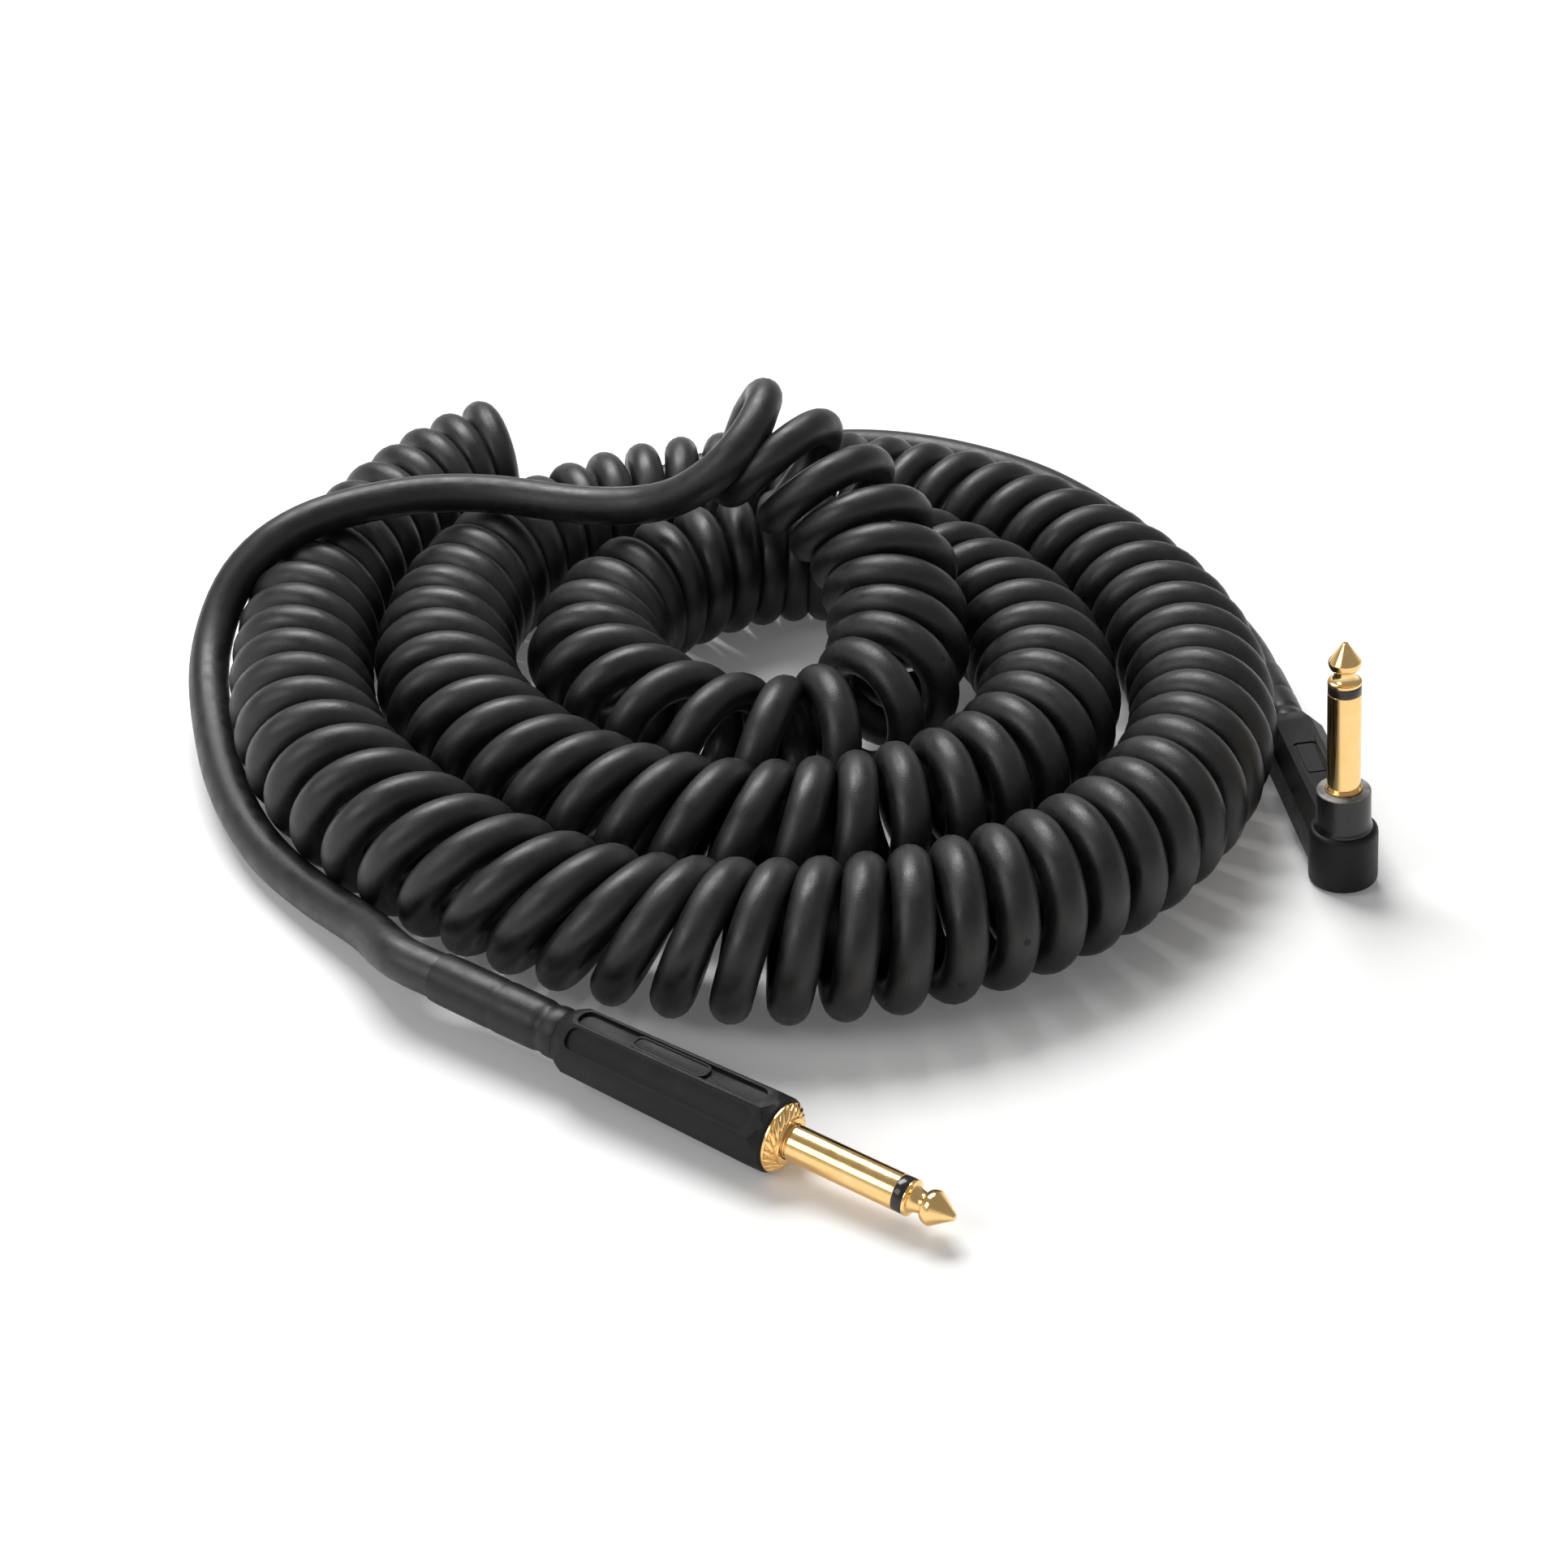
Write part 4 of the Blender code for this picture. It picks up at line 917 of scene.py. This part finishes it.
def new_group(name, inputs, outputs):
    """A shader node group with named inputs, some with a default, and named outputs."""
    group = bpy.data.node_groups.new(name, "ShaderNodeTree")
    for label, kind, default in inputs:
        socket = group.interface.new_socket(label, in_out="INPUT", socket_type=kind)
        if default is not None:
            socket.default_value = default
    for label, kind in outputs:
        group.interface.new_socket(label, in_out="OUTPUT", socket_type=kind)
    entry = group.nodes.new("NodeGroupInput")
    leave = group.nodes.new("NodeGroupOutput")
    return group, entry.outputs, leave


grain_group, given, leave = new_group(
    "mottled_grain",
    [("Vector", VECTOR, None), ("Grain Scale", FLOAT, 2500.0), ("Mottle Scale", FLOAT, 120.0),
     ("Bump Height", FLOAT, 0.00003)],
    [("Mottle", FLOAT), ("Grain", FLOAT), ("Normal", VECTOR)])
grain = add_node(grain_group, "TexNoise", {
    "Vector": given["Vector"], "Scale": given["Grain Scale"], "Detail": 3.0})
mottle = add_node(grain_group, "TexNoise", {
    "Vector": given["Vector"], "Scale": given["Mottle Scale"], "Detail": 4.0, "Roughness": 0.6})
bump = add_node(grain_group, "Bump", {
    "Strength": 1.0, "Distance": given["Bump Height"], "Height": grain.outputs["Fac"]})
feed(grain_group, leave, {"Mottle": mottle.outputs["Fac"], "Grain": grain.outputs["Fac"],
                          "Normal": bump.outputs["Normal"]})
print("group", grain_group.name)

# %% [markdown]
# ## Specks of dust
# Rubber holds dust. Voronoi cells scatter the specks evenly, a small distance
# from each cell's middle makes them round, and the cell's own random colour
# leaves most cells empty, so that no pattern shows.

# %% Speck group
SPECK_CHANCE = 0.6                  # share of the cells that stay empty
speck_group, given, leave = new_group(
    "dust_specks",
    [("Vector", VECTOR, None), ("Cell Scale", FLOAT, 90.0), ("Speck Size", FLOAT, 0.045)],
    [("Mask", FLOAT)])
cells = add_node(speck_group, "TexVoronoi",
                 {"Vector": given["Vector"], "Scale": given["Cell Scale"]}, feature="F1")
dice = add_node(speck_group, "SeparateColor", {"Color": cells.outputs["Color"]})
near = calculate(speck_group, "LESS_THAN", cells.outputs["Distance"], given["Speck Size"])
chosen = calculate(speck_group, "GREATER_THAN", dice.outputs["Red"], SPECK_CHANCE)
feed(speck_group, leave, {"Mask": calculate(speck_group, "MULTIPLY", near, chosen)})
print("group", speck_group.name)

# %% [markdown]
# ## Materials
# Each finish is a Principled shader whose colour, roughness and normal come
# from the groups, while a value that is the same all over is set on the shader
# itself. The groups read the piece's own Object coordinates, in metres, so a
# grain has its real size on every piece.

# %% Material helpers
MOTTLE_LOW, MOTTLE_HIGH = 0.3, 0.7  # noise values between which the mottling changes


def start_material(name, plain):
    """A Principled material with these plain socket values."""
    material = bpy.data.materials.new(name)
    material.use_nodes = True
    shader = material.node_tree.nodes["Principled BSDF"]
    feed(material.node_tree, shader, plain)
    return material, material.node_tree, shader


def place_group(tree, group, values):
    """Place a group that reads the piece's own coordinates."""
    place = add_node(tree, "TexCoord", {})
    node = tree.nodes.new("ShaderNodeGroup")
    node.node_tree = group
    feed(tree, node, {"Vector": place.outputs["Object"], **values})
    return node.outputs


def mottled(name, dark, light, roughness, scales, bump_height, plain):
    """A finish whose colour and gloss wander a little, with a fine grain."""
    material, tree, shader = start_material(name, plain)
    grain = place_group(tree, grain_group, {
        "Grain Scale": scales[0], "Mottle Scale": scales[1], "Bump Height": bump_height})
    feed(tree, shader, {
        "Base Color": tint(tree, grain["Mottle"], MOTTLE_LOW, MOTTLE_HIGH, dark, light),
        "Roughness": ramp(tree, grain["Mottle"], MOTTLE_LOW, MOTTLE_HIGH, *roughness),
        "Normal": grain["Normal"]})
    return material


print("material helpers ready")

# %% [markdown]
# ## The cord's rubber
# Black rubber with a soft gloss that changes from place to place. The die that
# drew the jacket left fine marks along it, and only these read the tube's own
# map, stretched along the cord. Specks of dust are darker and duller spots.

# %% Cord rubber
MARK_SCALE = (60.0, 900.0, 1.0)     # marks to a metre, along and round the jacket
MARK_DULLING = 0.22
SPECK_DULLING = 0.3
SPECK_TONE = (0.003, 0.003, 0.003, 1.0)
rubber, tree, shader = start_material("cord_rubber", {"Specular IOR Level": 0.5})
grain = place_group(tree, grain_group, {
    "Grain Scale": 2400.0, "Mottle Scale": 230.0, "Bump Height": 0.000035})
specks = place_group(tree, speck_group, {"Cell Scale": 75.0, "Speck Size": 0.055})["Mask"]
cord_map = add_node(tree, "UVMap", {}, uv_map="cord_map")
along_marks = add_node(tree, "Mapping", {"Vector": cord_map.outputs["UV"], "Scale": MARK_SCALE})
marks = add_node(tree, "TexNoise", {
    "Vector": along_marks.outputs["Vector"], "Scale": 1.0, "Detail": 2.0}).outputs["Fac"]
colour = tint(tree, grain["Mottle"], MOTTLE_LOW, MOTTLE_HIGH,
              (0.008, 0.008, 0.008), (0.014, 0.014, 0.014))
spotted = add_node(tree, "Mix", {"Factor": specks, "A": colour, "B": SPECK_TONE},
                   data_type="RGBA")
gloss = ramp(tree, grain["Mottle"], 0.32, 0.68, 0.24, 0.42)
marked = calculate(tree, "MULTIPLY_ADD", marks, MARK_DULLING, gloss)
feed(tree, shader, {
    "Base Color": spotted.outputs["Result"],
    "Roughness": calculate(tree, "MULTIPLY_ADD", specks, SPECK_DULLING, marked),
    "Normal": grain["Normal"]})
print("material", rubber.name)

# %% [markdown]
# ## The moulded and shrunk blacks
# The grips are a matt moulded black with a clear grain. The heat-shrink tube is
# smoother, and the riser and the insulating rings have a polish. They differ in
# tone, gloss and grain only, so one function with other values makes them all.
# The riser's top rim is painted pale: a painted highlight for the light that its flat top
# catches.

# %% Blacks
grip_black = mottled("grip_black", (0.008, 0.0077, 0.0074), (0.013, 0.0125, 0.012),
                     (0.42, 0.56), (3200.0, 220.0), 0.00005, {"Specular IOR Level": 0.2})
shrink_black = mottled("shrink_black", (0.007, 0.0067, 0.0064), (0.012, 0.0114, 0.0108),
                       (0.34, 0.48), (1400.0, 260.0), 0.00004, {"Specular IOR Level": 0.35})
riser_black = mottled("riser_black", (0.010, 0.010, 0.010), (0.018, 0.017, 0.016),
                      (0.16, 0.26), (2400.0, 260.0), 0.00002, {"Specular IOR Level": 0.5})
# A pale painted highlight for the riser's top rim, standing in for the light that falls on it.
riser_painted_highlight = mottled("riser_painted_highlight", (0.020, 0.020, 0.020), (0.42, 0.41, 0.40),
                     (0.30, 0.45), (2400.0, 260.0), 0.00002, {"Specular IOR Level": 0.5})
insulator_brown = mottled("insulator_brown", (0.018, 0.012, 0.009), (0.030, 0.021, 0.016),
                          (0.14, 0.22), (2400.0, 260.0), 0.00001, {"Specular IOR Level": 0.5})
print("blacks ready")

# %% [markdown]
# ## Gold plate and the hidden metals
# The shafts, tips and the collar are gold-plated and polished: a metallic
# shader with a very small bump, because a plain mirror looks like plastic film.
# The lugs and wires inside the plugs are duller metals of the same kind.

# %% Metals
def plated(name, dark, light, roughness):
    return mottled(name, dark, light, roughness, (2600.0, 300.0), 0.000004, {"Metallic": 1.0})


gold = plated("gold_plate", (0.93, 0.60, 0.24), (0.97, 0.68, 0.31), (0.10, 0.18))
tinned = plated("tinned_sheet", (0.52, 0.52, 0.52), (0.62, 0.62, 0.61), (0.30, 0.42))
copper = plated("copper_strands", (0.70, 0.32, 0.18), (0.82, 0.42, 0.26), (0.30, 0.45))
print("metals ready")

# %% [markdown]
# ## Dress the pieces and the solids that stay
# Each piece takes its finish, and the riser's top rim a pale painted highlight, on the
# faces that look along the riser's axis. The terminals, wires and insulating
# parts inside the plugs keep their solids, which have the right shape, and only
# get better materials.

# %% Materials on pieces and solids
PAINTED_HIGHLIGHT_RIM = 0.2 * MM                 # height of the painted highlight on the riser's top rim


def dress(obj, material):
    obj.data.materials.clear()
    obj.data.materials.append(material)


DRESS = [
    (rubber, [cord]),
    (gold, [straight_sleeve, straight_tip, collar, angle_sleeve, angle_tip]),
    (insulator_brown, [straight_ring, angle_ring]),
    (grip_black, [grip, housing]),
    (shrink_black, [straight_shrink, angle_shrink]),
    (riser_black, [riser]),
]
for material, pieces in DRESS:
    for piece in pieces:
        dress(piece, material)
# Painted highlight: the pale second material goes on the riser's upward faces at its top rim.
riser.data.materials.append(riser_painted_highlight)
up = angle_frame.to_3x3().col[2]
for face in riser.data.polygons:
    high = (angle_frame.inverted() @ face.center).z > RISER_TOP - PAINTED_HIGHLIGHT_RIM
    face.material_index = int(high and face.normal.dot(up) > 0.4)
SOLID_FINISH = {"insulating_tube": insulator_brown, "back_insulator": insulator_brown,
                "tip_lug": tinned, "ground_lug": tinned,
                "core_wire": copper, "shield_wire": copper}
for plug in ("straight", "angle"):
    for part, material in SOLID_FINISH.items():
        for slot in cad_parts[f"{plug}_{part}"].material_slots:
            slot.material = material
print("dressed")

# %% [markdown]
# ## What stands for what
# Each piece rides on the part's one body, and the table names the solids that
# it stands for, which are hidden, and its finish. The cord's real length comes
# from the line above: about 121 curls of 71 mm and two leads, close to the
# nine metres of a nominal thirty-foot cable. It leaves the straight plug's grip
# and ends in the right-angle plug.

# %% Ride and replace
STANDS_FOR = [
    (cord, "cord_jacket", ["curly_cord", "straight_lead", "angle_lead",
                           "straight_cord_end", "angle_cord_end"]),
    (straight_sleeve, "gold_plate", ["straight_sleeve"]),
    (straight_ring, "insulator", ["straight_tip_insulator"]),
    (straight_tip, "gold_plate", ["straight_tip_contact"]),
    (collar, "gold_plate", ["straight_knurled_collar"]),
    (grip, "moulded_grip", ["straight_handle"]),
    (straight_shrink, "moulded_grip", ["straight_shrink_sleeve"]),
    (angle_sleeve, "gold_plate", ["angle_sleeve"]),
    (angle_ring, "insulator", ["angle_tip_insulator"]),
    (angle_tip, "gold_plate", ["angle_tip_contact"]),
    (housing, "moulded_grip", ["angle_housing"]),
    (riser, "riser_plastic", ["angle_riser"]),
    (angle_shrink, "moulded_grip", ["angle_shrink_sleeve"]),
]
for piece, finish, solids in STANDS_FOR:
    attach(piece, "root")
    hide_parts(*solids)

# %% [markdown]
# ## The floor
# The cable lies on a seamless white sweep. The sweep is nearly white by its
# colour, and a faint glow takes it the last step. Only the camera, reflections
# and glass see the glow, so it puts no light on the cable, and it is weakest
# near the cable, so the shadow there stays.

# %% Floor
def seen_by(tree, *rays):
    """1 for these kinds of ray, and 0 for all others."""
    path = add_node(tree, "LightPath", {})
    seen = path.outputs[f"Is {rays[0]} Ray"]
    for ray in rays[1:]:
        seen = calculate(tree, "MAXIMUM", seen, path.outputs[f"Is {ray} Ray"])
    return seen


GLOW_NEAR, GLOW_FAR = 0.09, 0.40    # strength of the glow
bpy.ops.object.select_all(action="DESELECT")
bpy.ops.mesh.primitive_plane_add(size=8.0, location=(0.0, 0.0, -0.05 * MM))
floor = named("studio_floor")
sweep, tree, shader = start_material("white_sweep", {
    "Base Color": (0.92, 0.92, 0.915, 1.0), "Roughness": 0.9, "Specular IOR Level": 0.0,
    "Emission Color": (1.0, 1.0, 1.0, 1.0)})
spot = add_node(tree, "TexCoord", {})
away = add_node(tree, "VectorMath", {0: spot.outputs["Object"]}, operation="LENGTH")
glow = ramp(tree, away.outputs["Value"], 0.10, 0.32, GLOW_NEAR, GLOW_FAR)
shown = seen_by(tree, "Camera", "Glossy", "Transmission")
feed(tree, shader, {"Emission Strength": calculate(tree, "MULTIPLY", shown, glow)})
dress(floor, sweep)
print("floor ready")

# %% [markdown]
# ## The room's light
# The world gives the even fill of a pale room, a little stronger from low down.
# The camera sees it as plain white. Reflections see white only near the
# horizon and less of it higher up, as under a studio's dark ceiling, which
# keeps the upper sides of the glossy cord black.

# %% World
world = bpy.data.worlds.new("studio_world")
bpy.context.scene.world = world
world.use_nodes = True
tree = world.node_tree
direction = add_node(tree, "TexCoord", {})
split = add_node(tree, "SeparateXYZ", {"Vector": direction.outputs["Generated"]})
height = split.outputs["Z"]
fill = tree.nodes["Background"]
feed(tree, fill, {"Color": tint(tree, height, 0.1, 0.45, (0.30, 0.30, 0.30), (0.16, 0.16, 0.16)),
                  "Strength": 1.0})
white = add_node(tree, "Background", {"Strength": 1.0})
mirrored = calculate(tree, "MULTIPLY", seen_by(tree, "Glossy", "Transmission"),
                     ramp(tree, height, 0.12, 0.30, 1.0, 0.28))
shown = calculate(tree, "MAXIMUM", seen_by(tree, "Camera"), mirrored)
choose = add_node(tree, "MixShader", {
    "Fac": shown, 1: fill.outputs["Background"], 2: white.outputs["Background"]})
feed(tree, tree.nodes["World Output"], {"Surface": choose.outputs["Shader"]})
print("world ready")

# %% [markdown]
# ## The lamps
# A big soft box stands above and behind the cable and draws the long soft
# highlights on its curls. A weaker one, on the left, lights the sides that the
# first leaves dark. Large lamps give the soft edge of shadow that a sweep has.

# %% Lamps
def softbox(name, place, width, depth, power):
    """A rectangular lamp that looks at the origin."""
    data = bpy.data.lights.new(name, "AREA")
    data.shape = "RECTANGLE"
    data.size = width
    data.size_y = depth
    data.energy = power
    obj = bpy.data.objects.new(name, data)
    obj.location = place
    obj.rotation_euler = (-Vector(place)).to_track_quat("-Z", "Y").to_euler()
    bpy.context.scene.collection.objects.link(obj)


softbox("back_softbox", (-0.24, 0.54, 0.94), 0.75, 0.50, 13.5)
softbox("left_softbox", (-0.82, -0.42, 0.64), 0.62, 0.52, 3.3)
print("lamps ready")
